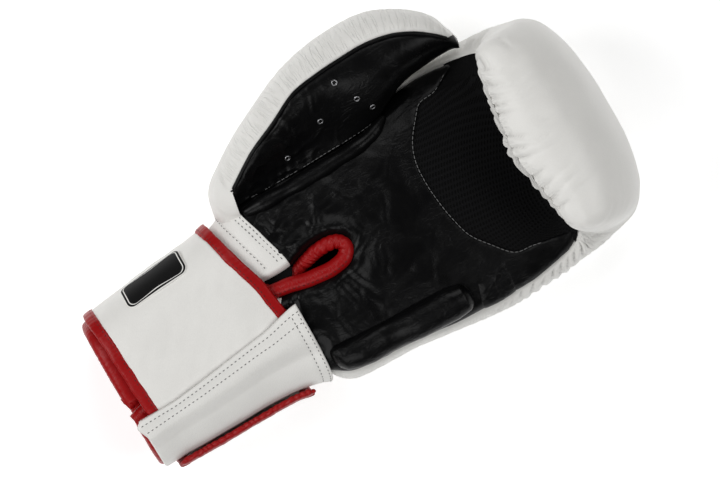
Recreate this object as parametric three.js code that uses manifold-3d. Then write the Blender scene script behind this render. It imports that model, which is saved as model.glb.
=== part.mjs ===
// A boxing glove for the left hand, lying on its padded back with the palm up.
// +X runs from the cuff to the knuckles, +Y to the thumb side, +Z up out of the palm. Millimetres.
import * as THREE from "three";
import { mergeVertices } from "three/addons/utils/BufferGeometryUtils.js";
import Module from "manifold-3d";

const wasm = await Module();
wasm.setup();

// Driving sizes of the hand and fist
const HAND_LENGTH = 207; // wrist seam to the front of the knuckles
const FIST_WIDTH = 136; // across the knuckles
const FIST_HEIGHT = 115; // padded back to the top of the finger roll
const BACK_PAD = 36; // foam over the knuckles
const SIDE_PAD = 12; // foam along the thumb side and the little finger side
const PALM_WALL = 4; // palm leather with its thin backing
const ROLL_PAD = 22; // foam over the finger tips

// Driving sizes of the cuff
const CUFF_LENGTH = 104; // wrist seam to the end of the cuff wall
const CUFF_WIDTH = 94; // across the wrist, outside
const CUFF_HEIGHT = 66; // floor to the palm side of the wrist
const CUFF_WALL = 7; // padded wrist wall

// Driving sizes of the thumb
const THUMB_LENGTH = 163; // base at the wrist to the tip
const THUMB_REACH = 111; // centre line of the hand to the outside of the thumb
const THUMB_TOP = 81; // floor to the highest stretch of the thumb
const THUMB_START = -11; // where its base starts beside the wrist seam
const THUMB_PANEL = 3; // inner thumb leather

// Driving sizes of the strap, its label and the leather that holds it down
const STRAP_THICK = 2.6;
const STRAP_LIFT = 1.5; // how far the strap lies off the cuff
const STRAP_END_LIFT = 3.2; // how much further its free end stands off
const BINDING_WIDTH = 6.5;
const BINDING_PROUD = 0.5; // how far a binding stands above and below the strap
const CUFF_BINDING_WIDTH = 6;
const SLIT_BINDING_RADIUS = 3.6;
const PATCH_THICK = 1.8;
const PATCH_LIFT = 0.7; // how far it lies off the cuff
const LABEL_LENGTH = 39;
const LABEL_THICK = 0.8;

// Small pieces on the palm and the thumb
const HEEL_PAD_WIDTH = 22;
const HEEL_PAD_PROUD = 9; // how far the heel pad stands above the palm
const SEAM_ROLL_RADIUS = 4.6;
const EYELET_RADIUS = 2.2;
const EYELET_HOLE = 1.1;
const EYELET_HEIGHT = 1.2;

const GAP = 0.3; // clearance between neighbouring pieces

const DEG = Math.PI / 180;

// How square the sections are: the power of their outline, 2 for an ellipse
const BODY_POWER = { top: 2.9, bottom: 2.5 };
const THUMB_POWER = 2.3;
const THUMB_SPACE_POWER = 2.2;

// How finely the forms are sampled
const BODY_SIDES = 26;
const CUFF_RINGS = 6;
const PALM_RINGS = 10;
const ROLL_RINGS = 16;
const CAVITY_SIDES = 14;
const CAVITY_RINGS = 20;
const THUMB_RINGS = 15;
const THUMB_SIDES = 18;

// The hand and fist, from the wrist seam round the knuckles to the tip of the finger roll.
// Each row is one section: its palm point, its back point, how far it reaches to either side,
// how far its sides run ahead of its middle, and how thick its back padding is.
// x are shares of HAND_LENGTH, z of FIST_HEIGHT, thumb, little and ahead of FIST_WIDTH, pad of BACK_PAD.
const HAND_STATIONS = [
  { palmX: 0.0, palmZ: 0.55, backX: 0.0, backZ: 0.06, thumb: 0.415, little: 0.405, ahead: 0, pad: 0.3 },
  { palmX: 0.07, palmZ: 0.545, backX: 0.07, backZ: 0.015, thumb: 0.445, little: 0.465, ahead: 0, pad: 0.5 },
  { palmX: 0.24, palmZ: 0.54, backX: 0.24, backZ: -0.02, thumb: 0.47, little: 0.483, ahead: 0, pad: 0.72 },
  { palmX: 0.43, palmZ: 0.53, backX: 0.43, backZ: -0.02, thumb: 0.49, little: 0.51, ahead: 0, pad: 0.8 },
  { palmX: 0.6, palmZ: 0.51, backX: 0.61, backZ: -0.02, thumb: 0.51, little: 0.515, ahead: 0, pad: 0.85 },
  { palmX: 0.71, palmZ: 0.485, backX: 0.76, backZ: 0.01, thumb: 0.507, little: 0.5, ahead: 0, pad: 0.9 },
  { palmX: 0.738, palmZ: 0.5, backX: 0.9, backZ: 0.11, thumb: 0.495, little: 0.48, ahead: 0, pad: 1.0 },
  { palmX: 0.742, palmZ: 0.54, backX: 0.982, backZ: 0.31, thumb: 0.48, little: 0.46, ahead: 0, pad: 1.0 },
  { palmX: 0.74, palmZ: 0.6, backX: 1.0, backZ: 0.56, thumb: 0.47, little: 0.45, ahead: 0, pad: 0.9 },
  { palmX: 0.733, palmZ: 0.68, backX: 0.965, backZ: 0.8, thumb: 0.463, little: 0.44, ahead: 0.01, pad: 0.7 },
  { palmX: 0.722, palmZ: 0.76, backX: 0.885, backZ: 0.95, thumb: 0.455, little: 0.42, ahead: 0.02, pad: 0.6 },
  { palmX: 0.71, palmZ: 0.83, backX: 0.8, backZ: 0.995, thumb: 0.44, little: 0.39, ahead: 0.035, pad: 0.5 },
  { palmX: 0.703, palmZ: 0.88, backX: 0.74, backZ: 0.965, thumb: 0.415, little: 0.355, ahead: 0.05, pad: 0.5 },
  { palmX: 0.702, palmZ: 0.905, backX: 0.712, backZ: 0.93, thumb: 0.38, little: 0.32, ahead: 0.055, pad: 0.5 },
];
const CREASE_STATION = 5; // the section where the palm turns up into the finger roll
const ROLL_SEAM_STATION = 11.6; // where the mesh is sewn to the tip of the finger roll
const FINGER_END_STATION = 10.2; // where the finger space ends

// The cuff, from its open end to the wrist seam.
// along is a share of CUFF_LENGTH, palm of CUFF_HEIGHT, thumb and little of CUFF_WIDTH.
const CUFF_STATIONS = [
  { along: -1.0, palm: 1.0, thumb: 0.4, little: 0.53 },
  { along: -0.62, palm: 0.99, thumb: 0.45, little: 0.535 },
  { along: -0.22, palm: 0.97, thumb: 0.505, little: 0.535 },
];
const CUFF_OVERRUN = 10; // how far the body form runs past the cuff, so that every cut goes through
const FLATTENED = 2.2; // how far the cuff's round back is pressed flat by its own weight

// The black leather's share of a section's half width, at the side seams, for each row of HAND_STATIONS.
const SEAM_SHARES = [
  { thumb: 0.95, little: 0.95 },
  { thumb: 0.95, little: 0.95 },
  { thumb: 0.95, little: 0.955 },
  { thumb: 0.94, little: 0.95 },
  { thumb: 0.93, little: 0.945 },
  { thumb: 0.9, little: 0.9 },
  { thumb: 0.88, little: 0.82 },
  { thumb: 0.87, little: 0.78 },
  { thumb: 0.87, little: 0.76 },
  { thumb: 0.87, little: 0.76 },
  { thumb: 0.87, little: 0.77 },
  { thumb: 0.88, little: 0.8 },
  { thumb: 0.88, little: 0.8 },
  { thumb: 0.88, little: 0.8 },
];

// The thumb, from its base. x is a share of THUMB_LENGTH, inner and outer of THUMB_REACH,
// low and high of THUMB_TOP.
const THUMB_STATIONS = [
  { x: 0.0, inner: 0.41, outer: 0.46, low: 0.34, high: 0.52 },
  { x: 0.025, inner: 0.38, outer: 0.6, low: 0.22, high: 0.7 },
  { x: 0.1, inner: 0.375, outer: 0.695, low: 0.16, high: 0.81 },
  { x: 0.24, inner: 0.385, outer: 0.82, low: 0.17, high: 0.925 },
  { x: 0.42, inner: 0.4, outer: 0.94, low: 0.21, high: 0.985 },
  { x: 0.6, inner: 0.45, outer: 0.995, low: 0.26, high: 1.0 },
  { x: 0.76, inner: 0.575, outer: 0.99, low: 0.32, high: 0.985 },
  { x: 0.88, inner: 0.605, outer: 0.915, low: 0.4, high: 0.95 },
  { x: 0.965, inner: 0.61, outer: 0.81, low: 0.49, high: 0.88 },
  { x: 1.0, inner: 0.65, outer: 0.7, low: 0.62, high: 0.76 },
];
// The space for the thumb, measured as the thumb is.
const THUMB_SPACE_STATIONS = [
  { x: 0.16, inner: 0.2, outer: 0.42, low: 0.34, high: 0.62 },
  { x: 0.27, inner: 0.24, outer: 0.58, low: 0.36, high: 0.72 },
  { x: 0.42, inner: 0.36, outer: 0.74, low: 0.38, high: 0.8 },
  { x: 0.6, inner: 0.54, outer: 0.84, low: 0.42, high: 0.85 },
  { x: 0.78, inner: 0.65, outer: 0.86, low: 0.48, high: 0.85 },
  { x: 0.88, inner: 0.68, outer: 0.8, low: 0.54, high: 0.8 },
];
// The black inner thumb panel: x is a share of THUMB_LENGTH, inner and outer of THUMB_REACH.
const THUMB_PANEL_EDGES = [
  { x: 0.1, inner: 0.47, outer: 0.543 },
  { x: 0.22, inner: 0.465, outer: 0.655 },
  { x: 0.33, inner: 0.465, outer: 0.727 },
  { x: 0.44, inner: 0.468, outer: 0.805 },
  { x: 0.53, inner: 0.473, outer: 0.826 },
  { x: 0.63, inner: 0.51, outer: 0.836 },
  { x: 0.73, inner: 0.6, outer: 0.837 },
  { x: 0.82, inner: 0.625, outer: 0.812 },
  { x: 0.89, inner: 0.61, outer: 0.765 },
  { x: 0.95, inner: 0.605, outer: 0.7 },
  { x: 0.975, inner: 0.61, outer: 0.665 },
];
const WEB_END = 0.5; // the share of THUMB_LENGTH up to which that panel bridges from the palm to the thumb
const TIP_START = 0.76; // the share from which it lies on the thumb alone

// Edges of the palm pieces in plan: x is a share of HAND_LENGTH, y of FIST_WIDTH.
const MESH_EDGE = [
  { x: 0.688, y: 0.44 },
  { x: 0.625, y: 0.385 },
  { x: 0.57, y: 0.372 },
  { x: 0.545, y: 0.335 },
  { x: 0.5, y: 0.246 },
  { x: 0.482, y: 0.17 },
  { x: 0.478, y: 0.08 },
  { x: 0.482, y: -0.005 },
  { x: 0.49, y: -0.083 },
  { x: 0.509, y: -0.185 },
  { x: 0.547, y: -0.264 },
  { x: 0.594, y: -0.338 },
  { x: 0.65, y: -0.351 },
  { x: 0.745, y: -0.38 },
];
const LITTLE_PANEL_EDGE = [
  { x: 0.462, y: -0.37 },
  { x: 0.448, y: -0.46 },
  { x: 0.446, y: -0.56 },
  { x: 0.54, y: -0.56 },
  { x: 0.55, y: -0.44 },
  { x: 0.558, y: -0.345 },
  { x: 0.51, y: -0.335 },
];
// Where the cuff leather ends on the hand.
const CUFF_EDGE = [
  { x: 0.005, y: 0.6 },
  { x: 0.01, y: 0.36 },
  { x: 0.034, y: 0.23 },
  { x: 0.058, y: 0.05 },
  { x: 0.024, y: -0.08 },
  { x: 0.022, y: -0.22 },
  { x: 0.01, y: -0.39 },
  { x: 0.005, y: -0.6 },
];
// The bound edge of the palm slit: from the cuff end along the little finger side, round its end and back.
// x is a share of HAND_LENGTH ahead of the wrist seam, or of CUFF_LENGTH behind it, y of FIST_WIDTH.
// sink is how far the middle of the binding lies below the leather, in binding radii.
const SLIT_PATH = [
  { x: -1.0, y: -0.085, sink: 1.0 },
  { x: -0.55, y: -0.04, sink: 1.0 },
  { x: -0.1, y: 0.01, sink: 1.0 },
  { x: 0.018, y: 0.003, sink: 0.95 },
  { x: 0.09, y: -0.022, sink: 0.4 },
  { x: 0.157, y: -0.03, sink: 0.1 },
  { x: 0.195, y: -0.012, sink: 0.1 },
  { x: 0.212, y: 0.027, sink: 0.2 },
  { x: 0.2, y: 0.068, sink: 0.6 },
  { x: 0.145, y: 0.09, sink: 1.1 },
  { x: 0.07, y: 0.085, sink: 1.4 },
  { x: 0.0, y: 0.078, sink: 1.1 },
  { x: -0.55, y: 0.035, sink: 1.0 },
  { x: -1.0, y: 0.0, sink: 1.0 },
];
// The heel pad along the little finger side: wide is a share of HEEL_PAD_WIDTH, proud of HEEL_PAD_PROUD.
const HEEL_PAD = [
  { x: 0.03, y: -0.35, wide: 0.45, proud: 0.4 },
  { x: 0.055, y: -0.365, wide: 0.78, proud: 0.8 },
  { x: 0.12, y: -0.38, wide: 0.94, proud: 1.0 },
  { x: 0.195, y: -0.386, wide: 0.9, proud: 0.72 },
  { x: 0.28, y: -0.392, wide: 0.98, proud: 1.0 },
  { x: 0.36, y: -0.397, wide: 1.0, proud: 1.0 },
  { x: 0.415, y: -0.4, wide: 0.84, proud: 0.85 },
  { x: 0.437, y: -0.4, wide: 0.45, proud: 0.4 },
];
// The padded roll sewn between palm and thumb, beside the inner thumb panel: x is a share of HAND_LENGTH.
const SEAM_ROLL = [0.02, 0.14, 0.28, 0.4];
const SEAM_ROLL_BESIDE = 1.22; // how far its middle lies from that panel's edge, in its radii
// The air holes in the inner thumb panel: along and across are shares of its length and width.
const EYELETS = [
  { along: 0.185, across: 0.33 },
  { along: 0.333, across: 0.44 },
  { along: 0.445, across: 0.79 },
  { along: 0.484, across: 0.5 },
  { along: 0.516, across: 0.28 },
];

// The strap, round the cuff from the palm over the thumb side and the back to the little finger side.
// turn is the angle from the palm, hand and cuff are its two edges in shares of CUFF_LENGTH.
const STRAP_EDGES = [
  { turn: -28, hand: 0.045, cuff: -0.87 },
  { turn: -8, hand: 0.024, cuff: -0.9 },
  { turn: 52, hand: -0.15, cuff: -0.95 },
  { turn: 90, hand: -0.175, cuff: -0.965 },
  { turn: 180, hand: -0.16, cuff: -0.955 },
  { turn: 270, hand: -0.115, cuff: -0.92 },
  { turn: 286, hand: -0.1, cuff: -0.9 },
];
const END_BINDING_TURN = 275; // where the binding of its free end starts
const LABEL_TURNS = { from: 37, to: 75 };
const LABEL_MIDDLE = -0.545; // in shares of CUFF_LENGTH
const STRAP_END_RISE = { from: 255, to: 277 }; // where it lifts off towards that end
// The leather patch that holds the strap down, in turns from the palm, and its edge in shares of HAND_LENGTH.
const PATCH_TURNS = { byHand: -6, byCuff: -19, little: -83 };
const STRAP_TUCK = 7; // how far the strap runs under it
const PATCH_HAND_EDGE = { palm: 0.02, little: 0.003 };
const PATCH_STEP = { from: 0.14, to: 0.4 }; // the share of its width over which it comes down off the strap

function V(x, y, z) {
  return new THREE.Vector3(x, y, z);
}

function range(from, to, count) {
  return Array.from({ length: count }, (_, i) => from + ((to - from) * i) / (count - 1));
}

function shares(steps) {
  return range(0, 1, steps + 1);
}

// A closed solid for joining and cutting, from a three.js geometry.
function solid(geometry) {
  const bare = geometry.index ? geometry.toNonIndexed() : geometry.clone();
  for (const name of Object.keys(bare.attributes)) if (name !== "position") bare.deleteAttribute(name);
  const merged = mergeVertices(bare, 1e-4);
  const vertProperties = merged.attributes.position.array;
  const triVerts = new Uint32Array(merged.index.array);
  const made = new wasm.Manifold(new wasm.Mesh({ numProp: 3, vertProperties, triVerts }));
  return made.volume() < 0 ? solid(merged.setIndex(turned(merged.index.array))) : made;
}

function turned(index) {
  const other = Array.from(index);
  for (let i = 0; i < other.length; i += 3) [other[i + 1], other[i + 2]] = [other[i + 2], other[i + 1]];
  return other;
}

function geometryOf(made) {
  const mesh = made.getMesh();
  const position = new Float32Array(mesh.numVert * 3);
  for (let i = 0; i < mesh.numVert; i++) {
    position.set(mesh.vertProperties.subarray(i * mesh.numProp, i * mesh.numProp + 3), i * 3);
  }
  return new THREE.BufferGeometry()
    .setAttribute("position", new THREE.BufferAttribute(position, 3))
    .setIndex(new THREE.BufferAttribute(new Uint32Array(mesh.triVerts), 1));
}

// The largest body of a solid, without the crumbs that a cut along two curved faces can leave.
function mainBody(made) {
  return made.decompose().reduce((best, piece) => (piece.volume() > best.volume() ? piece : best));
}

// The triangles between rings of points.
function wall(rings, sides) {
  const index = [];
  for (let r = 0; r + 1 < rings; r++) {
    for (let s = 0; s < sides; s++) {
      const a = r * sides + s;
      const b = r * sides + ((s + 1) % sides);
      index.push(a, b, b + sides, a, b + sides, a + sides);
    }
  }
  return index;
}

// A closed skin through rings of points, with a fan of triangles over either end.
function loft(rings) {
  const sides = rings[0].length;
  const points = rings.flat();
  const index = wall(rings.length, sides);
  for (const [first, turn] of [[0, true], [(rings.length - 1) * sides, false]]) {
    const middle = V(0, 0, 0);
    for (let s = 0; s < sides; s++) middle.addScaledVector(points[first + s], 1 / sides);
    points.push(middle);
    for (let s = 0; s < sides; s++) {
      const edge = [first + s, first + ((s + 1) % sides)];
      if (turn) edge.reverse();
      index.push(edge[0], edge[1], points.length - 1);
    }
  }
  return solid(new THREE.BufferGeometry().setFromPoints(points).setIndex(index));
}

// A thick sheet between an outer and an inner skin, each a function of its shares across and along.
function sheet(outer, inner, across, along) {
  const sides = 2 * across.length;
  const points = along.flatMap((k) => [
    ...across.map((i) => outer(i, k)),
    ...across.toReversed().map((i) => inner(i, k)),
  ]);
  const index = wall(along.length, sides);
  for (const [first, turn] of [[0, true], [(along.length - 1) * sides, false]]) {
    for (let s = 0; s + 1 < across.length; s++) {
      const [a, b, c, d] = [s, s + 1, sides - 2 - s, sides - 1 - s].map((n) => first + n);
      index.push(...(turn ? [b, a, d, b, d, c] : [a, b, d, d, b, c]));
    }
  }
  return solid(new THREE.BufferGeometry().setFromPoints(points).setIndex(index));
}

// An upright solid over an outline in plan.
function prism(outline, low = -FIST_HEIGHT, high = 2 * FIST_HEIGHT) {
  const shape = new THREE.Shape(outline.map((p) => new THREE.Vector2(p.x, p.y)));
  const made = new THREE.ExtrudeGeometry(shape, { depth: high - low, bevelEnabled: false });
  return solid(made.translate(0, 0, low));
}

function smooth(points, count, closed = false) {
  return new THREE.CatmullRomCurve3(points, closed, "centripetal").getPoints(count);
}

// A line in plan moved sideways by a distance, positive to its left.
function beside(line, distance, closed = false) {
  const last = line.length - 1;
  return line.map((p, i) => {
    const before = closed ? line.at(i - 1) : line[Math.max(i - 1, 0)];
    const after = closed ? line[(i + 1) % line.length] : line[Math.min(i + 1, last)];
    const along = V(after.x - before.x, after.y - before.y, 0).normalize();
    return V(p.x - along.y * distance, p.y + along.x * distance, p.z);
  });
}

// A round bar along a curve.
function bar(curve, radius, steps) {
  const shape = new THREE.Shape().absarc(0, 0, radius, 0, 2 * Math.PI, false);
  return solid(
    new THREE.ExtrudeGeometry(shape, { steps, curveSegments: 4, bevelEnabled: false, extrudePath: curve }),
  );
}

// How far along a curve, from 0 to 1, its x reaches a value.
function shareAt(curve, x) {
  let [low, high] = [0, 1];
  for (let i = 0; i < 24; i++) {
    const share = (low + high) / 2;
    if (curve.getPoint(share).x < x) low = share;
    else high = share;
  }
  return (low + high) / 2;
}

// A form made of sections, each reaching to a top, a bottom and two side points from its middle.
class Form {
  constructor(sections, power, floorAt = () => -Infinity) {
    this.last = sections.length - 1;
    this.power = power;
    this.floorAt = floorAt;
    const curve = (side) => new THREE.CatmullRomCurve3(sections.map((s) => s[side]), false, "catmullrom");
    this.top = curve("top");
    this.bottom = curve("bottom");
    this.plus = curve("plus");
    this.minus = curve("minus");
    this.middle = curve("middle");
  }

  // A point at a station and an angle: 0 on top, 90 on the plus side. reach moves it out, or in if below 0.
  point(station, angle, reach = 0) {
    const t = THREE.MathUtils.clamp(station / this.last, 0, 1);
    const middle = this.middle.getPoint(t);
    const up = Math.cos(angle * DEG);
    const side = Math.sin(angle * DEG);
    const far = typeof reach === "number" ? { top: reach, bottom: reach, side: reach } : reach;
    const power = 2 / (up > 0 ? this.power.top : this.power.bottom);
    const upright = (up > 0 ? this.top : this.bottom).getPoint(t).sub(middle);
    const sideways = (side > 0 ? this.plus : this.minus).getPoint(t).sub(middle);
    const upReach = 1 + (up > 0 ? far.top : far.bottom) / upright.length();
    const sideReach = 1 + far.side / sideways.length();
    const found = middle
      .addScaledVector(upright, upReach * Math.abs(up) ** power)
      .addScaledVector(sideways, sideReach * Math.abs(side) ** power);
    found.z = Math.max(found.z, this.floorAt(station) - far.bottom);
    return found;
  }

  // The angle on the top half at which a section passes a given y.
  angleAt(station, y) {
    const middle = this.middle.getPoint(station / this.last).y;
    let [low, high] = y > middle ? [0, 90] : [-90, 0];
    for (let i = 0; i < 20; i++) {
      const angle = (low + high) / 2;
      if (this.point(station, angle).y < y) low = angle;
      else high = angle;
    }
    return (low + high) / 2;
  }

  // The station at a given x, where the sections stand square to X.
  stationAt(x) {
    return shareAt(this.middle, x) * this.last;
  }

  // The angle that lies in a given direction from the middle of a squarish section.
  angleTowards(direction) {
    const [up, side] = [Math.cos(direction * DEG), Math.sin(direction * DEG)];
    const power = (up > 0 ? this.power.top : this.power.bottom) / 2;
    const spread = (v) => Math.sign(v) * Math.abs(v) ** power;
    return Math.atan2(spread(side), spread(up)) / DEG;
  }

  solid(stations, sides, reachAt) {
    const angles = range(0, 360, sides + 1).slice(1).map((direction) => this.angleTowards(direction));
    return loft(stations.map((s) => angles.map((a) => this.point(s, a, reachAt(s)))));
  }
}

// The body form: the cuff, then the hand and fist
const SNUG = STRAP_LIFT + STRAP_THICK + BINDING_PROUD; // the cuff's back rests on the strap
const WRIST = 1 + CUFF_STATIONS.length; // station of the wrist seam
const FLOOR_BLEND = 0.8; // stations to either side of it over which the back comes down to the floor
const WALL_BLEND = { from: -0.3, to: 1 }; // stations from it over which the walls thicken into the padding

function cuffSection(row, x = row.along * CUFF_LENGTH) {
  const low = SNUG - FLATTENED;
  const high = row.palm * CUFF_HEIGHT;
  const z = (low + high) / 2;
  return {
    top: V(x, 0, high),
    bottom: V(x, 0, low),
    plus: V(x, row.thumb * CUFF_WIDTH, z),
    minus: V(x, -row.little * CUFF_WIDTH, z),
    middle: V(x, 0, z),
  };
}

function handSection(row) {
  const top = V(row.palmX * HAND_LENGTH, 0, row.palmZ * FIST_HEIGHT);
  const bottom = V(row.backX * HAND_LENGTH, 0, row.backZ * FIST_HEIGHT);
  const middle = top.clone().lerp(bottom, 0.5);
  const sideX = middle.x + row.ahead * FIST_WIDTH;
  return {
    top,
    bottom,
    plus: V(sideX, row.thumb * FIST_WIDTH, middle.z),
    minus: V(sideX, -row.little * FIST_WIDTH, middle.z),
    middle,
  };
}

const bodyForm = new Form(
  [
    cuffSection(CUFF_STATIONS[0], -CUFF_LENGTH - CUFF_OVERRUN),
    ...CUFF_STATIONS.map((row) => cuffSection(row)),
    ...HAND_STATIONS.map(handSection),
  ],
  BODY_POWER,
  (station) => SNUG * (1 - THREE.MathUtils.smoothstep(station, WRIST - FLOOR_BLEND, WRIST + FLOOR_BLEND)),
);
const bodyStations = [
  ...range(0, WRIST, CUFF_RINGS),
  ...range(WRIST, WRIST + CREASE_STATION, PALM_RINGS).slice(1),
  ...range(WRIST + CREASE_STATION, bodyForm.last, ROLL_RINGS).slice(1),
];
const bodySolid = bodyForm.solid(bodyStations, BODY_SIDES, () => 0);
const bodyClear = bodyForm.solid(bodyStations, BODY_SIDES, () => GAP);

// A value of one column at a station of the hand, between the rows of its table
function between(table, column, station) {
  const row = THREE.MathUtils.clamp(station - WRIST, 0, table.length - 1);
  const low = table[Math.floor(row)][column];
  const high = table[Math.min(Math.floor(row) + 1, table.length - 1)][column];
  return THREE.MathUtils.lerp(low, high, row % 1);
}

// The space for the hand: through the cuff, along the palm and round into the finger roll
function wallsAt(station) {
  const into = THREE.MathUtils.smoothstep(station, WRIST + WALL_BLEND.from, WRIST + WALL_BLEND.to);
  const roll = THREE.MathUtils.smoothstep(station, WRIST + CREASE_STATION, WRIST + FINGER_END_STATION);
  return {
    top: -THREE.MathUtils.lerp(CUFF_WALL, PALM_WALL, into),
    bottom: -THREE.MathUtils.lerp(CUFF_WALL, between(HAND_STATIONS, "pad", station) * BACK_PAD, into),
    side: -THREE.MathUtils.lerp(THREE.MathUtils.lerp(CUFF_WALL, SIDE_PAD, into), ROLL_PAD, roll),
  };
}

const handSpace = bodyForm.solid(
  [...range(0, WRIST, 4), ...range(WRIST, WRIST + FINGER_END_STATION, CAVITY_RINGS).slice(1)],
  CAVITY_SIDES,
  wallsAt,
);

// The thumb form and the space inside it
function thumbSection(row) {
  const x = THUMB_START + row.x * THUMB_LENGTH;
  const y = ((row.inner + row.outer) / 2) * THUMB_REACH;
  const z = ((row.low + row.high) / 2) * THUMB_TOP;
  return {
    top: V(x, y, row.high * THUMB_TOP),
    bottom: V(x, y, row.low * THUMB_TOP),
    plus: V(x, row.outer * THUMB_REACH, z),
    minus: V(x, row.inner * THUMB_REACH, z),
    middle: V(x, y, z),
  };
}

const even = (power) => ({ top: power, bottom: power });
const thumbForm = new Form(THUMB_STATIONS.map(thumbSection), even(THUMB_POWER));
const thumbSolid = thumbForm.solid(range(0, thumbForm.last, THUMB_RINGS), THUMB_SIDES, () => 0);
const thumbSpaceForm = new Form(THUMB_SPACE_STATIONS.map(thumbSection), even(THUMB_SPACE_POWER));
const thumbSpace = thumbSpaceForm.solid(range(0, thumbSpaceForm.last, 8), 12, () => 0);

// The shell of the body, open at the cuff and into the thumb
const shell = bodySolid.subtract(handSpace).subtract(thumbSpace);

// Regions in plan
const inPlan = (rows) => rows.map((r) => V(r.x * HAND_LENGTH, r.y * FIST_WIDTH, 0));
const farBack = -2 * (CUFF_LENGTH + CUFF_OVERRUN);
const farAhead = 2 * HAND_LENGTH;
const behind = (line) => prism([...line, V(farBack, line.at(-1).y, 0), V(farBack, line[0].y, 0)]);
const ahead = (line) => prism([...line, V(farAhead, line.at(-1).y, 0), V(farAhead, line[0].y, 0)]);

const cuffLine = smooth(inPlan(CUFF_EDGE), 14);
const meshLine = smooth(inPlan(MESH_EDGE), 26);
const littleLine = inPlan(LITTLE_PANEL_EDGE);

// The slit in the cuff and the palm
function onBody(x, y) {
  const station = bodyForm.stationAt(x);
  return bodyForm.point(station, bodyForm.angleAt(station, y));
}

const slitCurve = new THREE.CatmullRomCurve3(
  SLIT_PATH.map((row) => {
    const x = row.x * (row.x < 0 ? CUFF_LENGTH : HAND_LENGTH);
    const y = row.y * FIST_WIDTH;
    return V(x, y, onBody(x, y).z - row.sink * SLIT_BINDING_RADIUS);
  }),
  false,
  "centripetal",
);
const slitOutline = beside(slitCurve.getPoints(38), -(SLIT_BINDING_RADIUS + GAP));
const slitRegion = behind(slitOutline).intersect(prism([
  V(farBack, -FIST_WIDTH, 0),
  V(farAhead, -FIST_WIDTH, 0),
  V(farAhead, FIST_WIDTH, 0),
  V(farBack, FIST_WIDTH, 0),
], CUFF_HEIGHT / 2));

// The part of the body's skin that is black leather and mesh, between the two side seams
const PALM_START = WRIST - 0.6; // under the edge of the cuff
const PALM_CUT = { out: 3, in: 2 }; // how far the cut for it reaches past the palm wall
const STATION_SPAN = 6; // how far apart the stations lie at the tip of the roll
function seamAngle(station, side, more) {
  const reach = Math.abs(bodyForm[side === "thumb" ? "plus" : "minus"].getPoint(station / bodyForm.last).y);
  const y = between(SEAM_SHARES, side, station) * reach + more;
  return bodyForm.angleAt(station, side === "thumb" ? y : -y);
}

function palmRegion(more) {
  const end = WRIST + ROLL_SEAM_STATION + more / STATION_SPAN;
  const skin = (reach) => (i, k) => {
    const station = THREE.MathUtils.lerp(PALM_START, end, k);
    const [little, thumb] = ["little", "thumb"].map((side) => seamAngle(station, side, more));
    const angle = THREE.MathUtils.lerp(little, thumb, i);
    return bodyForm.point(station, angle, reach);
  };
  return sheet(skin(PALM_CUT.out + more), skin(-PALM_WALL - PALM_CUT.in - more), shares(12), shares(20));
}

const palmSkin = shell.intersect(palmRegion(0)).subtract(behind(beside(cuffLine, GAP))).subtract(slitRegion);
const palmLeather = palmSkin.subtract(ahead(beside(meshLine, -GAP)));

// The inner thumb panel, which bridges from the seam roll to the thumb
const PALM_SIDE_ANGLE = -84; // where its inner edge lies on the thumb's own section
const PANEL_TRIM = 0.006; // the share of its length that is left off at either end
const PANEL_CUT = { above: 6, edge: 3 * GAP, below: 2 * GAP }; // how far the cut for it reaches past it
const PANEL_OVERHANG = 1; // how far it reaches past the thumb's foam over the palm
const panelCurve = (side) =>
  new THREE.CatmullRomCurve3(THUMB_PANEL_EDGES.map((r) => V(r.x, r[side], 0)), false, "centripetal");
const panelInner = panelCurve("inner");
const panelOuter = panelCurve("outer");

function panelPoint(across, along, depth) {
  const inner = panelInner.getPoint(along);
  const outer = panelOuter.getPoint(along);
  const x = THUMB_START + inner.x * THUMB_LENGTH;
  const station = thumbForm.stationAt(x);
  const outerAngle = thumbForm.angleAt(station, outer.y * THUMB_REACH);
  const start = onBody(x, inner.y * THUMB_REACH).setX(x);
  start.z += THUMB_PANEL / 2;
  const edge = thumbForm.point(station, outerAngle);
  const span = edge.y - start.y;
  const lift = V(0, span, (edge.z - start.z) / 2);
  const slope = thumbForm.point(station, outerAngle + 3).sub(edge).setLength(span);
  const bridge = (i) => {
    const j = 1 - i;
    return start
      .clone()
      .multiplyScalar(j * j * (1 + 2 * i))
      .addScaledVector(lift, i * j * j)
      .addScaledVector(edge, i * i * (3 - 2 * i))
      .addScaledVector(slope, -i * i * j);
  };
  const web = bridge(across);
  const chord = edge.clone().sub(start).normalize();
  web.add(V(0, chord.z * depth, -chord.y * depth));
  const onThumb = thumbForm.point(station, THREE.MathUtils.lerp(PALM_SIDE_ANGLE, outerAngle, across), -depth);
  return web.lerp(onThumb, THREE.MathUtils.smoothstep(inner.x, WEB_END, TIP_START)).setX(x);
}

const PANEL_STEP = 0.02; // a small share of its length or width
const panelAcross = shares(7);
const panelAlong = range(PANEL_TRIM, 1 - PANEL_TRIM, 16);
const panel = sheet(
  (i, k) => panelPoint(i, k, 0),
  (i, k) => panelPoint(i, k, THUMB_PANEL),
  panelAcross,
  panelAlong,
);
// The cut for it in the thumb reaches past its edges
function pastPanel(across, along, depth) {
  const point = panelPoint(Math.min(across, 1), along, depth);
  return across > 1 ? point.add(V(0, PANEL_CUT.edge, 0)) : point;
}

const panelCut = sheet(
  (i, k) => pastPanel(i, k, -PANEL_CUT.above),
  (i, k) => pastPanel(i, k, THUMB_PANEL + PANEL_CUT.below),
  [-3 * PANEL_STEP, ...panelAcross, 2],
  [0, ...panelAlong, 1],
);
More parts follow.
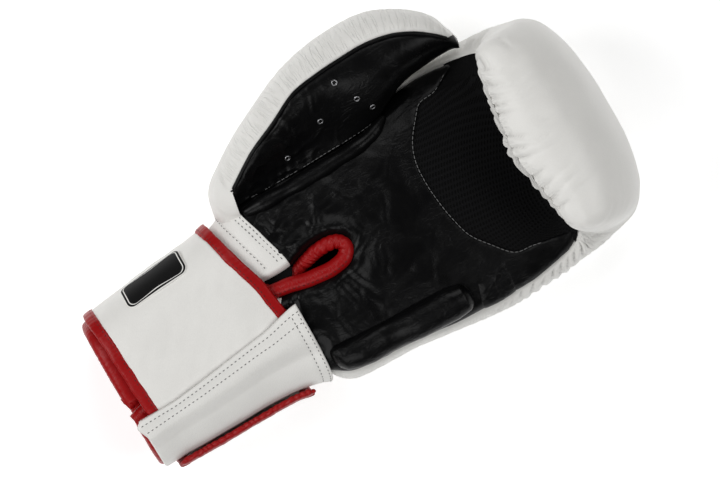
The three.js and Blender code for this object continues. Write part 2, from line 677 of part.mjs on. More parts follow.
// Where the thumb lies over the palm, the panel alone shows
const overPalm = range(0, 1, 12).map((k) => panelInner.getPoint(k)).filter((p) => p.x < TIP_START);
const besideRoll = SEAM_ROLL[0] * HAND_LENGTH - SEAM_ROLL_RADIUS / 3;
const palmSide = prism([
  ...overPalm.map((p) => V(THUMB_START + p.x * THUMB_LENGTH, p.y * THUMB_REACH + PANEL_OVERHANG, 0)),
  V(THUMB_START + overPalm.at(-1).x * THUMB_LENGTH, 0, 0),
  V(besideRoll, 0, 0),
  V(besideRoll, THUMB_PANEL_EDGES[0].inner * THUMB_REACH + PANEL_OVERHANG, 0),
]);

// The padded roll between palm and thumb, half sunk in the palm
function seamRoll(radius) {
  const line = SEAM_ROLL.map((share) => {
    const x = share * HAND_LENGTH;
    const edge = panelInner.getPoint(shareAt(panelInner, (x - THUMB_START) / THUMB_LENGTH));
    const y = edge.y * THUMB_REACH - SEAM_ROLL_BESIDE * SEAM_ROLL_RADIUS;
    return V(x, y, onBody(x, y).z + SEAM_ROLL_RADIUS / 8);
  });
  return bar(new THREE.CatmullRomCurve3(line), radius, 16);
}

// The heel pad, an oval roll whose lower half is cut off by the palm
function heelPad() {
  const route = new THREE.CatmullRomCurve3(inPlan(HEEL_PAD), false, "centripetal");
  const size = new THREE.CatmullRomCurve3(HEEL_PAD.map((r) => V(r.wide, r.proud, 0)), false, "centripetal");
  return loft(
    range(0, 1, 13).map((k) => {
      const { x, y } = route.getPoint(k);
      const { x: wide, y: proud } = size.getPoint(k);
      const station = bodyForm.stationAt(x);
      const angle = bodyForm.angleAt(station, y);
      const centre = bodyForm.point(station, angle);
      const across = bodyForm.point(station, angle + 2).sub(bodyForm.point(station, angle - 2)).normalize();
      const out = V(0, -across.z, across.y);
      return range(0, 2 * Math.PI, 13).slice(1).map((turn) => {
        const height = Math.sin(turn) > 0 ? proud * HEEL_PAD_PROUD : HEEL_PAD_PROUD;
        return centre
          .clone()
          .addScaledVector(across, (Math.cos(turn) * wide * HEEL_PAD_WIDTH) / 2)
          .addScaledVector(out, Math.sin(turn) * height);
      });
    }),
  );
}

// An air hole's metal ring through the thumb panel, and the hole that it sits in
function eyelet(row) {
  const centre = panelPoint(row.across, row.along, 0);
  const across = panelPoint(row.across + PANEL_STEP, row.along, 0).sub(centre);
  const along = panelPoint(row.across, row.along + PANEL_STEP, 0).sub(centre);
  const axis = along.cross(across).normalize();
  const turn = new THREE.Quaternion().setFromUnitVectors(V(0, 1, 0), axis);
  const profile = [
    new THREE.Vector2(EYELET_HOLE, -THUMB_PANEL),
    new THREE.Vector2(EYELET_RADIUS, -THUMB_PANEL),
    new THREE.Vector2(EYELET_RADIUS, EYELET_HEIGHT),
    new THREE.Vector2(EYELET_HOLE, EYELET_HEIGHT),
    new THREE.Vector2(EYELET_HOLE, -THUMB_PANEL),
  ];
  const place = (geometry) => solid(geometry.applyQuaternion(turn).translate(...centre.toArray()));
  const radius = EYELET_RADIUS + GAP / 2;
  return {
    ring: place(new THREE.LatheGeometry(profile, 10)),
    hole: place(new THREE.CylinderGeometry(radius, radius, 6 * THUMB_PANEL, 10)),
  };
}

// Strips wrapped round the cuff
const strapEdge = Object.fromEntries(
  ["hand", "cuff"].map((side) => {
    const rows = STRAP_EDGES.map((r) => V(r.turn, r[side] * CUFF_LENGTH, 0));
    const curve = new THREE.CatmullRomCurve3(rows, false, "centripetal");
    return [side, (turn) => curve.getPoint(shareAt(curve, turn)).y];
  }),
);

function strapLift(turn) {
  const risen = THREE.MathUtils.smoothstep(turn, STRAP_END_RISE.from, STRAP_END_RISE.to);
  return STRAP_LIFT + STRAP_END_LIFT * risen;
}

function strip(edges, starts, end, [low, high], across, along) {
  const skin = (reach) => (i, k) => {
    const turn = THREE.MathUtils.lerp(THREE.MathUtils.lerp(...starts, i), end, k);
    const x = THREE.MathUtils.lerp(...edges(turn), i);
    return bodyForm.point(bodyForm.stationAt(x), turn, strapLift(turn) + reach);
  };
  return sheet(skin(high), skin(low), shares(across), shares(along));
}

const { hand, cuff } = strapEdge;
const STRAP_END = STRAP_EDGES.at(-1).turn;
const TURN_GAP = 0.5; // GAP as a turn, at the strap's free end
const stitchedAt = [PATCH_TURNS.byCuff - STRAP_TUCK, PATCH_TURNS.byHand - STRAP_TUCK];
const wound = END_BINDING_TURN - TURN_GAP;
const bound = [-BINDING_PROUD, STRAP_THICK + BINDING_PROUD];
const inset = BINDING_WIDTH + GAP;
const strap = strip((t) => [cuff(t) + inset, hand(t) - inset], stitchedAt, wound, [0, STRAP_THICK], 3, 26);
const onHandSide = (t) => [hand(t) - BINDING_WIDTH, hand(t)];
const onCuffSide = (t) => [cuff(t), cuff(t) + BINDING_WIDTH];
const handBinding = strip(onHandSide, [stitchedAt[1], stitchedAt[1]], wound, bound, 2, 26);
const cuffSideBinding = strip(onCuffSide, [stitchedAt[0], stitchedAt[0]], wound, bound, 2, 26);
const atEnd = [END_BINDING_TURN, END_BINDING_TURN];
const endBinding = strip((t) => [cuff(t), hand(t)], atEnd, STRAP_END, bound, 8, 2);

const labelX = LABEL_MIDDLE * CUFF_LENGTH;
const label = strip(
  () => [labelX - LABEL_LENGTH / 2, labelX + LABEL_LENGTH / 2],
  [LABEL_TURNS.from, LABEL_TURNS.from],
  LABEL_TURNS.to,
  [STRAP_THICK + GAP, STRAP_THICK + GAP + LABEL_THICK],
  2,
  8,
);

function patchPoint(across, along, reach) {
  const { lerp, smoothstep } = THREE.MathUtils;
  const handEdge = lerp(PATCH_HAND_EDGE.palm, PATCH_HAND_EDGE.little, across ** 2) * HAND_LENGTH;
  const x = lerp(-CUFF_LENGTH + CUFF_BINDING_WIDTH + GAP, handEdge, along);
  const turn = lerp(lerp(PATCH_TURNS.byCuff, PATCH_TURNS.byHand, along), PATCH_TURNS.little, across);
  const lift = lerp(SNUG + GAP, PATCH_LIFT, smoothstep(across, PATCH_STEP.from, PATCH_STEP.to));
  return bodyForm.point(bodyForm.stationAt(x), turn, lift + reach);
}

const patch = sheet(
  (i, k) => patchPoint(i, k, PATCH_THICK),
  (i, k) => patchPoint(i, k, 0),
  shares(11),
  shares(6),
);

// The bound end of the cuff, and the cuff wall behind it
const cuffRim = range(0, 2, 5);
const cuffSlice = (from, to) =>
  prism([V(from, -FIST_WIDTH, 0), V(to, -FIST_WIDTH, 0), V(to, FIST_WIDTH, 0), V(from, FIST_WIDTH, 0)]);
const cuffBinding = bodyForm
  .solid(cuffRim, BODY_SIDES, () => BINDING_PROUD)
  .subtract(bodyForm.solid(cuffRim, CAVITY_SIDES, () => -CUFF_WALL - BINDING_PROUD))
  .intersect(cuffSlice(-CUFF_LENGTH, -CUFF_LENGTH + CUFF_BINDING_WIDTH))
  .subtract(slitRegion);
const cuffWall = shell
  .intersect(behind(cuffLine))
  .intersect(cuffSlice(-CUFF_LENGTH + CUFF_BINDING_WIDTH + GAP, farAhead))
  .subtract(slitRegion);

const eyelets = EYELETS.map(eyelet);
const holes = eyelets.reduce((made, { hole }) => made.add(hole), eyelets[0].hole);

const WHITE = { color: 0xe6e5e0, roughness: 0.45 };
const BLACK = { color: 0x151516, roughness: 0.5 };
const MESH = { color: 0x0d0d0e, roughness: 0.95 };
const RED = { color: 0x9c1218, roughness: 0.4 };
const METAL = { color: 0x3a3a3c, roughness: 0.35, metalness: 1 };

const group = new THREE.Group();

function add(name, made, look) {
  const mesh = new THREE.Mesh(geometryOf(mainBody(made)), new THREE.MeshStandardMaterial(look));
  mesh.name = name;
  group.add(mesh);
}

add("fist_shell", shell.subtract(palmRegion(GAP)).subtract(behind(beside(cuffLine, GAP))), WHITE);
add("palm_panel", palmLeather.subtract(prism(beside(littleLine, -GAP, true))), BLACK);
add("palm_mesh", palmSkin.intersect(ahead(meshLine)), MESH);
add("little_finger_panel", palmLeather.intersect(prism(littleLine)), BLACK);
add("heel_pad", heelPad().subtract(bodyClear), BLACK);
add("thumb_shell", thumbSolid.subtract(bodyClear.add(thumbSpace).add(panelCut).add(palmSide)), WHITE);
add("thumb_panel", panel.subtract(bodyClear.add(seamRoll(SEAM_ROLL_RADIUS + GAP)).add(holes)), BLACK);
add("thumb_seam_roll", seamRoll(SEAM_ROLL_RADIUS).subtract(bodyClear), BLACK);
eyelets.forEach(({ ring }, i) => add(`eyelet_${i + 1}`, ring, METAL));
add("cuff", cuffWall, WHITE);
add("cuff_binding", cuffBinding, RED);
add("slit_binding", bar(slitCurve, SLIT_BINDING_RADIUS, 38), RED);
add("strap", strap, WHITE);
add("strap_binding_hand_side", handBinding, RED);
add("strap_binding_cuff_side", cuffSideBinding, RED);
add("strap_end_binding", endBinding, RED);
add("strap_patch", patch, WHITE);
add("label", label, BLACK);

// The origin is the middle of the glove where it rests
const box = new THREE.Box3().setFromObject(group);
group.position.set(-(box.min.x + box.max.x) / 2, -(box.min.y + box.max.y) / 2, -box.min.z);

export default group;
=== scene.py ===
"""The looks of a boxing glove for the left hand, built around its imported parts."""

import math

import bmesh
import bpy
import numpy as np
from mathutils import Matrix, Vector
from mathutils.bvhtree import BVHTree
from mathutils.kdtree import KDTree


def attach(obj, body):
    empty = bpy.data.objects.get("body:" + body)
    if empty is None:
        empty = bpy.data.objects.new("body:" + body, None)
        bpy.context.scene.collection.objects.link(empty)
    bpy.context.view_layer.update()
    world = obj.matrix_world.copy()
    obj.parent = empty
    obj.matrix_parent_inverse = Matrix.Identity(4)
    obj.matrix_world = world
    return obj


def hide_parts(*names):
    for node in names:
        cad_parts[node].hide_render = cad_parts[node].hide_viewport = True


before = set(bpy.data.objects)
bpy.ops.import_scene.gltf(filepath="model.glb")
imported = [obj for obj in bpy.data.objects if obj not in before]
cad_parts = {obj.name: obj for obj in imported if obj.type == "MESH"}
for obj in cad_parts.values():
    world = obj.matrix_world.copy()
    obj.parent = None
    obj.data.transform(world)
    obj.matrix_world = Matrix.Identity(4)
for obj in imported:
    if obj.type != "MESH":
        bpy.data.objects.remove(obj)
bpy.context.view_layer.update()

bl_info = {
    "name": "Boxing glove looks",
    "version": (1, 0, 0),
    "blender": (4, 5, 0),
    "location": "3D View > Sidebar > Glove",
    "description": "Builds the leather, mesh, bindings and stitches of a boxing glove",
    "category": "Object",
}

# Lengths are millimetres from the middle of the wrist seam, and become metres where a mesh is made.
MM = 0.001
PLACE = np.array([-51.297, -20.251, 0.002])  # the wrist seam's middle in the glove's own frame

HAND_LENGTH = 207.0
FIST_WIDTH = 136.0
FIST_HEIGHT = 115.0
BACK_PAD = 36.0
SIDE_PAD = 12.0
PALM_WALL = 4.0
ROLL_PAD = 22.0
CUFF_LENGTH = 104.0
CUFF_WIDTH = 94.0
CUFF_HEIGHT = 66.0
CUFF_WALL = 7.0
THUMB_LENGTH = 163.0
THUMB_REACH = 111.0
THUMB_TOP = 81.0
THUMB_START = -11.0
THUMB_PANEL = 3.0
STRAP_THICK = 2.6
STRAP_LIFT = 1.5
STRAP_END_LIFT = 3.2
BINDING_WIDTH = 6.5
BINDING_PROUD = 0.5
CUFF_BINDING_WIDTH = 6.0
CUFF_BINDING_PALM = 4.0  # how much wider it is folded over the palm side
SLIT_BINDING_RADIUS = 3.6
PATCH_THICK = 1.8
PATCH_LIFT = 0.7
LABEL_LENGTH = 39.0
LABEL_THICK = 0.8
HEEL_PAD_PROUD = 9.0
HEEL_PAD_SUNK = 2.5
HEEL_PAD_SHOWN = 19.5  # its width above the side seam
SEAM_ROLL_RADIUS = 4.6
GAP = 0.3
PALM_THICK = 3.0
MESH_THICK = 2.6
LITTLE_PANEL_THICK = 2.4
PIPING_RADIUS = 1.15
EYELET_RING_RADIUS = 1.4
EYELET_WIRE_RADIUS = 0.5
EYELET_PROUD = 0.45

# How a padded skin falls to its seam or edge: reach, depth
SIDE_SEAM_FALL = (7.0, 2.4)
WRIST_SEAM_FALL = (8.0, 2.0)
PALM_SIDE_FALL = (6.0, 2.0)
PALM_MESH_FALL = (2.5, 0.5)
LITTLE_PANEL_FALL = (5.0, 1.3)
THUMB_RIM_FALL = (3.2, 1.3)
THUMB_ROOT_FALL = (8.0, 2.2)
THUMB_PANEL_FALL = (3.5, 1.0)
CUFF_HEM_FALL = (7.0, 1.8)
PATCH_RIM_FALL = (1.2, 0.6)

# Gathers along a seam: pitch, reach, seed
ROLL_GATHERS = (8.0, 20, 3)
ROLL_WRINKLES = (4.3, 9, 5)
LITTLE_PLEATS = (5.4, 30, 6)
PLEAT_SHARPNESS = 0.55
SLIT_GATHERS = (8.5, 20, 13)
SLIT_WRINKLES = (4.2, 12, 14)
THUMB_GATHERS = (5.2, 26, 41)
THUMB_WRINKLES = (2.9, 22, 43)
THUMB_ROOT_GATHERS = (8.5, 14, 45)
THUMB_PANEL_GATHERS = (9.0, 20, 55)
CUFF_PUCKERS = (3.4, 10, 83)

# palm x, palm z, back x, back z, thumb side, little finger side, ahead, padding
HAND_STATIONS = np.array([
    (0.0, 0.55, 0.0, 0.06, 0.415, 0.405, 0, 0.3),
    (0.07, 0.545, 0.07, 0.015, 0.445, 0.465, 0, 0.5),
    (0.24, 0.54, 0.24, -0.02, 0.47, 0.483, 0, 0.72),
    (0.43, 0.53, 0.43, -0.02, 0.49, 0.51, 0, 0.8),
    (0.6, 0.51, 0.61, -0.02, 0.51, 0.515, 0, 0.85),
    (0.71, 0.485, 0.76, 0.01, 0.507, 0.5, 0, 0.9),
    (0.738, 0.5, 0.9, 0.11, 0.495, 0.48, 0, 1.0),
    (0.742, 0.54, 0.982, 0.31, 0.48, 0.46, 0, 1.0),
    (0.74, 0.6, 1.0, 0.56, 0.47, 0.45, 0, 0.9),
    (0.733, 0.68, 0.965, 0.8, 0.463, 0.44, 0.01, 0.7),
    (0.722, 0.76, 0.885, 0.95, 0.455, 0.42, 0.02, 0.6),
    (0.71, 0.83, 0.8, 0.995, 0.44, 0.39, 0.035, 0.5),
    (0.703, 0.88, 0.74, 0.965, 0.415, 0.355, 0.05, 0.5),
    (0.702, 0.905, 0.712, 0.93, 0.38, 0.32, 0.055, 0.5),
])
# Places along the hand, counted in the rows above
CREASE_STATION = 5
ROLL_SEAM_STATION = 11.6
FINGER_END_STATION = 10.2
# along, palm, thumb side, little finger side
CUFF_STATIONS = [(-1.0, 1.0, 0.4, 0.53), (-0.62, 0.99, 0.45, 0.535), (-0.22, 0.97, 0.505, 0.535)]
CUFF_OVERRUN = 10.0
FLATTENED = 2.2  # how far the cuff's underside is pressed towards the floor
# thumb side, little finger side
SEAM_SHARES = np.array([
    (0.95, 0.95), (0.95, 0.95), (0.95, 0.955), (0.94, 0.95), (0.93, 0.945), (0.9, 0.9), (0.88, 0.82),
    (0.87, 0.78), (0.87, 0.76), (0.87, 0.76), (0.87, 0.77), (0.88, 0.8), (0.88, 0.8), (0.88, 0.8),
])
# x, inner, outer, low, high
THUMB_STATIONS = [
    (0.0, 0.41, 0.46, 0.34, 0.52), (0.025, 0.38, 0.6, 0.22, 0.7), (0.1, 0.375, 0.695, 0.16, 0.81),
    (0.24, 0.385, 0.82, 0.17, 0.925), (0.42, 0.4, 0.94, 0.21, 0.985), (0.6, 0.45, 0.995, 0.26, 1.0),
    (0.76, 0.575, 0.99, 0.32, 0.985), (0.88, 0.605, 0.915, 0.4, 0.95), (0.965, 0.61, 0.81, 0.49, 0.88),
    (1.0, 0.595, 0.69, 0.58, 0.78),
]
# x, inner, outer
THUMB_PANEL_EDGES = np.array([
    (0.1, 0.47, 0.543), (0.22, 0.465, 0.655), (0.33, 0.465, 0.727), (0.44, 0.468, 0.805),
    (0.53, 0.473, 0.826), (0.63, 0.51, 0.836), (0.73, 0.6, 0.837), (0.82, 0.625, 0.812),
    (0.89, 0.61, 0.765), (0.95, 0.605, 0.7), (0.975, 0.61, 0.665),
])
# Where the panel leaves the palm, and where it lies on the thumb alone
WEB_END = 0.5
TIP_START = 0.76
PALM_SIDE_ANGLE = -84.0
# x, y, where the palm leather ends and the mesh starts
MESH_EDGE = np.array([
    (0.688, 0.44), (0.625, 0.385), (0.57, 0.372), (0.545, 0.335), (0.5, 0.246), (0.482, 0.17), (0.478, 0.08),
    (0.482, -0.005), (0.49, -0.083), (0.509, -0.185), (0.547, -0.264), (0.594, -0.338), (0.65, -0.351),
    (0.745, -0.38),
])
# x, y, where the cuff's leather ends on the palm side
CUFF_EDGE = np.array([
    (0.005, 0.6), (0.01, 0.36), (0.034, 0.23), (0.056, 0.05), (0.0, -0.02), (-0.03, -0.1),
    (-0.03, -0.22), (0.0, -0.39), (0.005, -0.6),
])
# x, y, sink
SLIT_PATH = [
    (-1.0, -0.165, 1.0), (-0.55, -0.07, 1.0), (-0.1, 0.01, 1.0), (0.018, 0.003, 0.8), (0.09, -0.02, 0.4),
    (0.157, -0.026, 0.1), (0.195, -0.01, 0.1), (0.21, 0.025, 0.3), (0.196, 0.058, 0.8), (0.145, 0.068, 1.5),
    (0.1, 0.052, 2.2), (0.06, 0.032, 3.2), (0.0, 0.026, 3.4), (-0.1, 0.036, 2.2), (-0.55, 0.004, 1.0),
    (-1.0, -0.088, 1.0),
]
SLIT_BINDING_SHOWN = 4.3  # its radius where it is plump
SLIT_END_ROW = 7
# x, y, wide, proud
HEEL_PAD = np.array([
    (0.03, -0.35, 0.45, 0.4), (0.055, -0.365, 0.78, 0.8), (0.12, -0.38, 0.94, 1.0),
    (0.195, -0.386, 0.9, 0.72),
    (0.28, -0.392, 0.98, 1.0), (0.36, -0.397, 1.0, 1.0), (0.415, -0.4, 0.84, 0.85),
    (0.437, -0.4, 0.45, 0.4),
])
SEAM_ROLL = (0.02, 0.14, 0.28, 0.4, 0.47)
SEAM_ROLL_BESIDE = 1.22
EYELETS = ((0.185, 0.33), (0.333, 0.44), (0.445, 0.79), (0.484, 0.5), (0.516, 0.28))  # along, across
# turn, hand side, cuff side
STRAP_EDGES = np.array([
    (-28, 0.035, -0.905), (-8, -0.01, -0.93), (20, -0.1, -0.948), (52, -0.15, -0.965), (90, -0.175, -0.97),
    (180, -0.16, -0.955), (270, -0.115, -0.92), (286, -0.1, -0.9),
])
END_BINDING_TURN = 275.0
LABEL_CORNER = 4.0
LABEL_TURNS = (36.0, 70.0)
LABEL_MIDDLE = -0.545
STRAP_END_RISE = (255.0, 277.0)
PATCH_BY_HAND, PATCH_BY_CUFF, PATCH_LITTLE = -6.0, -19.0, -83.0
STRAP_TUCK = 7.0
PATCH_HAND_EDGE = (0.02, 0.003)
PATCH_STEP = (0.14, 0.4)


def lerp(a, b, share):
    """The value a share of the way from a to b."""
    return a + (b - a) * share


def smoothstep(value, low, high):
    """0 at low, 1 at high, and smooth between them."""
    share = np.clip((value - low) / (high - low), 0, 1)
    return share * share * (3 - 2 * share)


def length(v):
    """The lengths of vectors."""
    return np.sqrt((v * v).sum(-1))


def unit(v):
    """Vectors made one long."""
    return v / np.maximum(length(v), 1e-9)[..., None]


def run(points):
    """How far along a line of points each of them lies."""
    return np.cumsum(np.pad(length(np.diff(points, axis=0)), (1, 0)))


def spline(points, share, even=True):
    """Catmull-Rom through points, at shares of the way; even=False spaces it by the points' distances."""
    points = np.asarray(points, float)
    ends = np.vstack([2 * points[0] - points[1], points, 2 * points[-1] - points[-2]])
    last = len(points) - 1
    far = np.clip(share, 0, 1) * last
    i = np.minimum(far.astype(int), last - 1)
    w = (far - i)[..., None]
    a, b, c, d = ends[i], ends[i + 1], ends[i + 2], ends[i + 3]
    if even:
        first, second = (c - a) / 2, (d - b) / 2
    else:
        spans = ((a, b), (b, c), (c, d))
        ab, bc, cd = (np.maximum(np.sqrt(length(q - p)), 1e-6)[..., None] for p, q in spans)
        first = ((b - a) / ab - (c - a) / (ab + bc) + (c - b) / bc) * bc
        second = ((c - b) / bc - (d - b) / (bc + cd) + (d - c) / cd) * bc
    return (b * (1 - w) ** 2 * (1 + 2 * w) + first * w * (1 - w) ** 2
            + c * w * w * (3 - 2 * w) - second * w * w * (1 - w))


def root(function, low, high, steps=22):
    """Where a rising function of an array passes zero, by halving."""
    low, high = np.array(low, float), np.array(high, float)
    for _ in range(steps):
        middle = (low + high) / 2
        under = function(middle) < 0
        low, high = np.where(under, middle, low), np.where(under, high, middle)
    return (low + high) / 2


class Form:
    """A form made of sections, each reaching to a top, a bottom and two side points from its middle."""

    def __init__(self, sections, powers, floor=None):
        self.curves = {side: np.array([s[side] for s in sections]) for side in sections[0]}
        self.last = len(sections) - 1
        self.powers = powers
        self.floor = floor

    def at(self, side, station):
        """The middle, or one of the four outermost points, of the section at a station."""
        return spline(self.curves[side], np.asarray(station) / self.last)

    def point(self, station, angle, reach=0.0):
        """A point at a station and an angle in degrees: 0 on top, 90 on the plus side."""
        top, bottom, sides = reach if isinstance(reach, tuple) else (reach, reach, reach)
        station, angle, top, bottom, sides = np.broadcast_arrays(
            np.asarray(station, float), np.asarray(angle, float), top, bottom, sides)
        turn = np.radians(angle)
        up, side = np.cos(turn), np.sin(turn)
        over, plus = (up > 0)[..., None], (side > 0)[..., None]
        middle = self.at("middle", station)
        upright = np.where(over, self.at("top", station), self.at("bottom", station)) - middle
        sideways = np.where(plus, self.at("plus", station), self.at("minus", station)) - middle
        power = 2 / np.where(up > 0, *self.powers)
        tall = (1 + np.where(up > 0, top, bottom) / length(upright)) * np.abs(up) ** power
        wide = (1 + sides / length(sideways)) * np.abs(side) ** power
        found = middle + upright * tall[..., None] + sideways * wide[..., None]
        if self.floor:
            found[..., 2] = np.maximum(found[..., 2], self.floor(station) - bottom)
        return found

    def angle_at(self, station, y):
        """The angle on the top half at which a section passes a given y."""
        station, y = np.broadcast_arrays(np.asarray(station, float), np.asarray(y, float))
        plus = y > self.at("middle", station)[..., 1]
        return root(lambda angle: self.point(station, angle)[..., 1] - y,
                    np.where(plus, 0.0, -90.0), np.where(plus, 90.0, 0.0))

    def station_at(self, x):
        """The station at a given x, where the sections stand square to X."""
        x = np.asarray(x, float)
        last = np.full(x.shape, self.last)
        return root(lambda s: self.at("middle", s)[..., 0] - x, np.zeros(x.shape), last)


SNUG = STRAP_LIFT + STRAP_THICK + BINDING_PROUD
WRIST = 1 + len(CUFF_STATIONS)


def cuff_section(row, x=None):
    """The outermost points of a cuff section; x places it where its row doesn't."""
    along, palm, thumb, little = row
    x = along * CUFF_LENGTH if x is None else x
    low, high = SNUG - FLATTENED, palm * CUFF_HEIGHT
    z = (low + high) / 2
    return {"top": (x, 0, high), "bottom": (x, 0, low), "plus": (x, thumb * CUFF_WIDTH, z),
            "minus": (x, -little * CUFF_WIDTH, z), "middle": (x, 0, z)}


def hand_section(row):
    """The outermost points of a hand section."""
    palm_x, palm_z, back_x, back_z, thumb, little, ahead, _ = row
    top = np.array((palm_x * HAND_LENGTH, 0, palm_z * FIST_HEIGHT))
    bottom = np.array((back_x * HAND_LENGTH, 0, back_z * FIST_HEIGHT))
    middle = (top + bottom) / 2
    x = middle[0] + ahead * FIST_WIDTH
    return {"top": top, "bottom": bottom, "plus": (x, thumb * FIST_WIDTH, middle[2]),
            "minus": (x, -little * FIST_WIDTH, middle[2]), "middle": middle}


def thumb_section(row):
    """The outermost points of a thumb section."""
    share, inner, outer, low, high = row
    x = THUMB_START + share * THUMB_LENGTH
    y, z = (inner + outer) / 2 * THUMB_REACH, (low + high) / 2 * THUMB_TOP
    return {"top": (x, y, high * THUMB_TOP), "bottom": (x, y, low * THUMB_TOP),
            "plus": (x, outer * THUMB_REACH, z), "minus": (x, inner * THUMB_REACH, z), "middle": (x, y, z)}


body = Form(
    [cuff_section(CUFF_STATIONS[0], -CUFF_LENGTH - CUFF_OVERRUN)]
    + [cuff_section(row) for row in CUFF_STATIONS] + [hand_section(row) for row in HAND_STATIONS],
    (2.9, 2.5),
    lambda station: SNUG * (1 - smoothstep(station, WRIST - 0.8, WRIST + 0.8)),
)
thumb = Form([thumb_section(row) for row in THUMB_STATIONS], (2.3, 2.3))


def row_value(table, column, station):
    """A column of a hand table, between its rows."""
    return np.interp(np.asarray(station) - WRIST, np.arange(len(table)), table[:, column])


def seam_angle(station, thumb_side, more=0.0):
    """The angle of the side seam; more moves it outwards in millimetres."""
    side = "plus" if thumb_side else "minus"
    share = row_value(SEAM_SHARES, 0 if thumb_side else 1, station)
    reach = np.abs(body.at(side, station)[..., 1]) * share + more
    return body.angle_at(station, reach if thumb_side else -reach)


def walls(station):
    """How far the hand space lies inside the skin."""
    into = smoothstep(station, WRIST - 0.3, WRIST + 1)
    roll = smoothstep(station, WRIST + CREASE_STATION, WRIST + FINGER_END_STATION)
    back = row_value(HAND_STATIONS, 7, station) * BACK_PAD
    return (-lerp(CUFF_WALL, PALM_WALL, into), -lerp(CUFF_WALL, back, into),
            -lerp(lerp(CUFF_WALL, SIDE_PAD, into), ROLL_PAD, roll))


def on_body(x, y, reach=0.0):
    """The point of the palm side over a place in plan."""
    station = body.station_at(x)
    return body.point(station, body.angle_at(station, y), reach)


def plan_line(edge, count):
    """A line in plan through an edge table, as x and y in millimetres."""
    return spline(edge * (HAND_LENGTH, FIST_WIDTH), np.linspace(0, 1, count), even=False)


CUFF_LINE = plan_line(CUFF_EDGE, 200)[::-1]
MESH_LINE = plan_line(MESH_EDGE, 400)[::-1]


def cuff_edge_x(y):
    """Where the cuff's white leather ends on the palm side."""
    return np.interp(y, CUFF_LINE[:, 1], CUFF_LINE[:, 0])


def mesh_edge_x(y):
    """Where the palm leather ends and the mesh starts."""
    return np.interp(y, MESH_LINE[:, 1], MESH_LINE[:, 0])


def panel_point(across, along, depth=0.0):
    """A point of the thumb's inner panel: across from the palm to its rim, along from wrist to tip."""
    across, along = np.broadcast_arrays(np.asarray(across, float), np.asarray(along, float))
    inner = spline(THUMB_PANEL_EDGES[:, [0, 1]], along, even=False)
    outer = spline(THUMB_PANEL_EDGES[:, [0, 2]], along, even=False)
    x = THUMB_START + inner[..., 0] * THUMB_LENGTH
    station = thumb.station_at(x)
    outer_angle = thumb.angle_at(station, outer[..., 1] * THUMB_REACH)
    start = on_body(x, inner[..., 1] * THUMB_REACH)
    start[..., 0] = x
    start[..., 2] += THUMB_PANEL / 2
    edge = thumb.point(station, outer_angle)
    span = edge[..., 1] - start[..., 1]
    lift = np.stack([0 * span, span, (edge[..., 2] - start[..., 2]) / 2], -1)
    slope = unit(thumb.point(station, outer_angle + 3) - edge) * span[..., None]
    i = across[..., None]
    j = 1 - i
    web = start * j * j * (1 + 2 * i) + lift * i * j * j + edge * i * i * (3 - 2 * i) - slope * i * i * j
    chord = unit(edge - start)
    web = web + np.stack([0 * span, chord[..., 2] * depth, -chord[..., 1] * depth], -1)
    on_thumb = thumb.point(station, lerp(PALM_SIDE_ANGLE, outer_angle, across), -depth)
    found = lerp(web, on_thumb, smoothstep(inner[..., 0], WEB_END, TIP_START)[..., None])
    found[..., 0] = x
    return found


def strap_edge(turn, column):
    """The x of the strap's edge by the hand, column 1, or by the cuff's end, column 2."""
    line = spline(STRAP_EDGES[:, [0, column]], np.linspace(0, 1, 300), even=False)
    return np.interp(turn, *line.T) * CUFF_LENGTH


def strap_lift(turn):
    """How far the strap lies off the cuff."""
    return STRAP_LIFT + STRAP_END_LIFT * smoothstep(turn, *STRAP_END_RISE)


def strap_point(turn, x, reach):
    """A point over the strap's inner side."""
    return body.point(body.station_at(x), turn, strap_lift(turn) + reach)


def patch_point(across, along, reach=0.0):
    """A point of the patch as it is cut: across from the strap to its side, along from cuff end to hand."""
    hand_edge = lerp(*PATCH_HAND_EDGE, across ** 2) * HAND_LENGTH
    x = lerp(-CUFF_LENGTH + CUFF_BINDING_WIDTH + GAP, hand_edge, along)
    turn = lerp(lerp(PATCH_BY_CUFF, PATCH_BY_HAND, along), PATCH_LITTLE, across)
    lift = lerp(SNUG + GAP, PATCH_LIFT, smoothstep(across, *PATCH_STEP))
    return body.point(body.station_at(x), turn, lift + reach)


def slit_curve(share):
    """The middle of the slit's binding, there and back."""
    x, y, sink = np.array(SLIT_PATH).T
    x = x * np.where(x < 0, CUFF_LENGTH, HAND_LENGTH)
    knots = on_body(x, y * FIST_WIDTH)
    knots = np.stack([x, y * FIST_WIDTH, knots[:, 2] - sink * SLIT_BINDING_RADIUS], -1)
    return spline(knots, share, even=False)


class Line:
    """A line of points; near() says how far points lie from it, and where along it."""

    def __init__(self, points, step=0.6):
        points = np.asarray(points, float)
        along = run(points)
        self.along = np.linspace(0, along[-1], max(int(along[-1] / step), 4))
        self.points = np.stack([np.interp(self.along, along, points[:, i]) for i in range(3)], -1)
        self.tree = KDTree(len(self.points))
        for i, point in enumerate(self.points):
            self.tree.insert(point, i)
        self.tree.balance()

    def near(self, points):
        """For each point, its distance from the line and how far along the line that is."""
        flat = points.reshape(-1, 3)
        i = np.array([self.tree.find(p)[1] for p in flat])
        last = len(self.points) - 1
        best = np.full(len(flat), np.inf)
        where = np.zeros(len(flat))
        for a in (np.maximum(i - 1, 0), np.minimum(i, last - 1)):
            start, way = self.points[a], self.points[a + 1] - self.points[a]
            share = np.clip(((flat - start) * way).sum(-1) / (way * way).sum(-1), 0, 1)
            far = length(flat - start - way * share[:, None])
            closer = far < best
            best = np.where(closer, far, best)
            where = np.where(closer, lerp(self.along[a], self.along[a + 1], share), where)
        return best.reshape(points.shape[:-1]), where.reshape(points.shape[:-1])


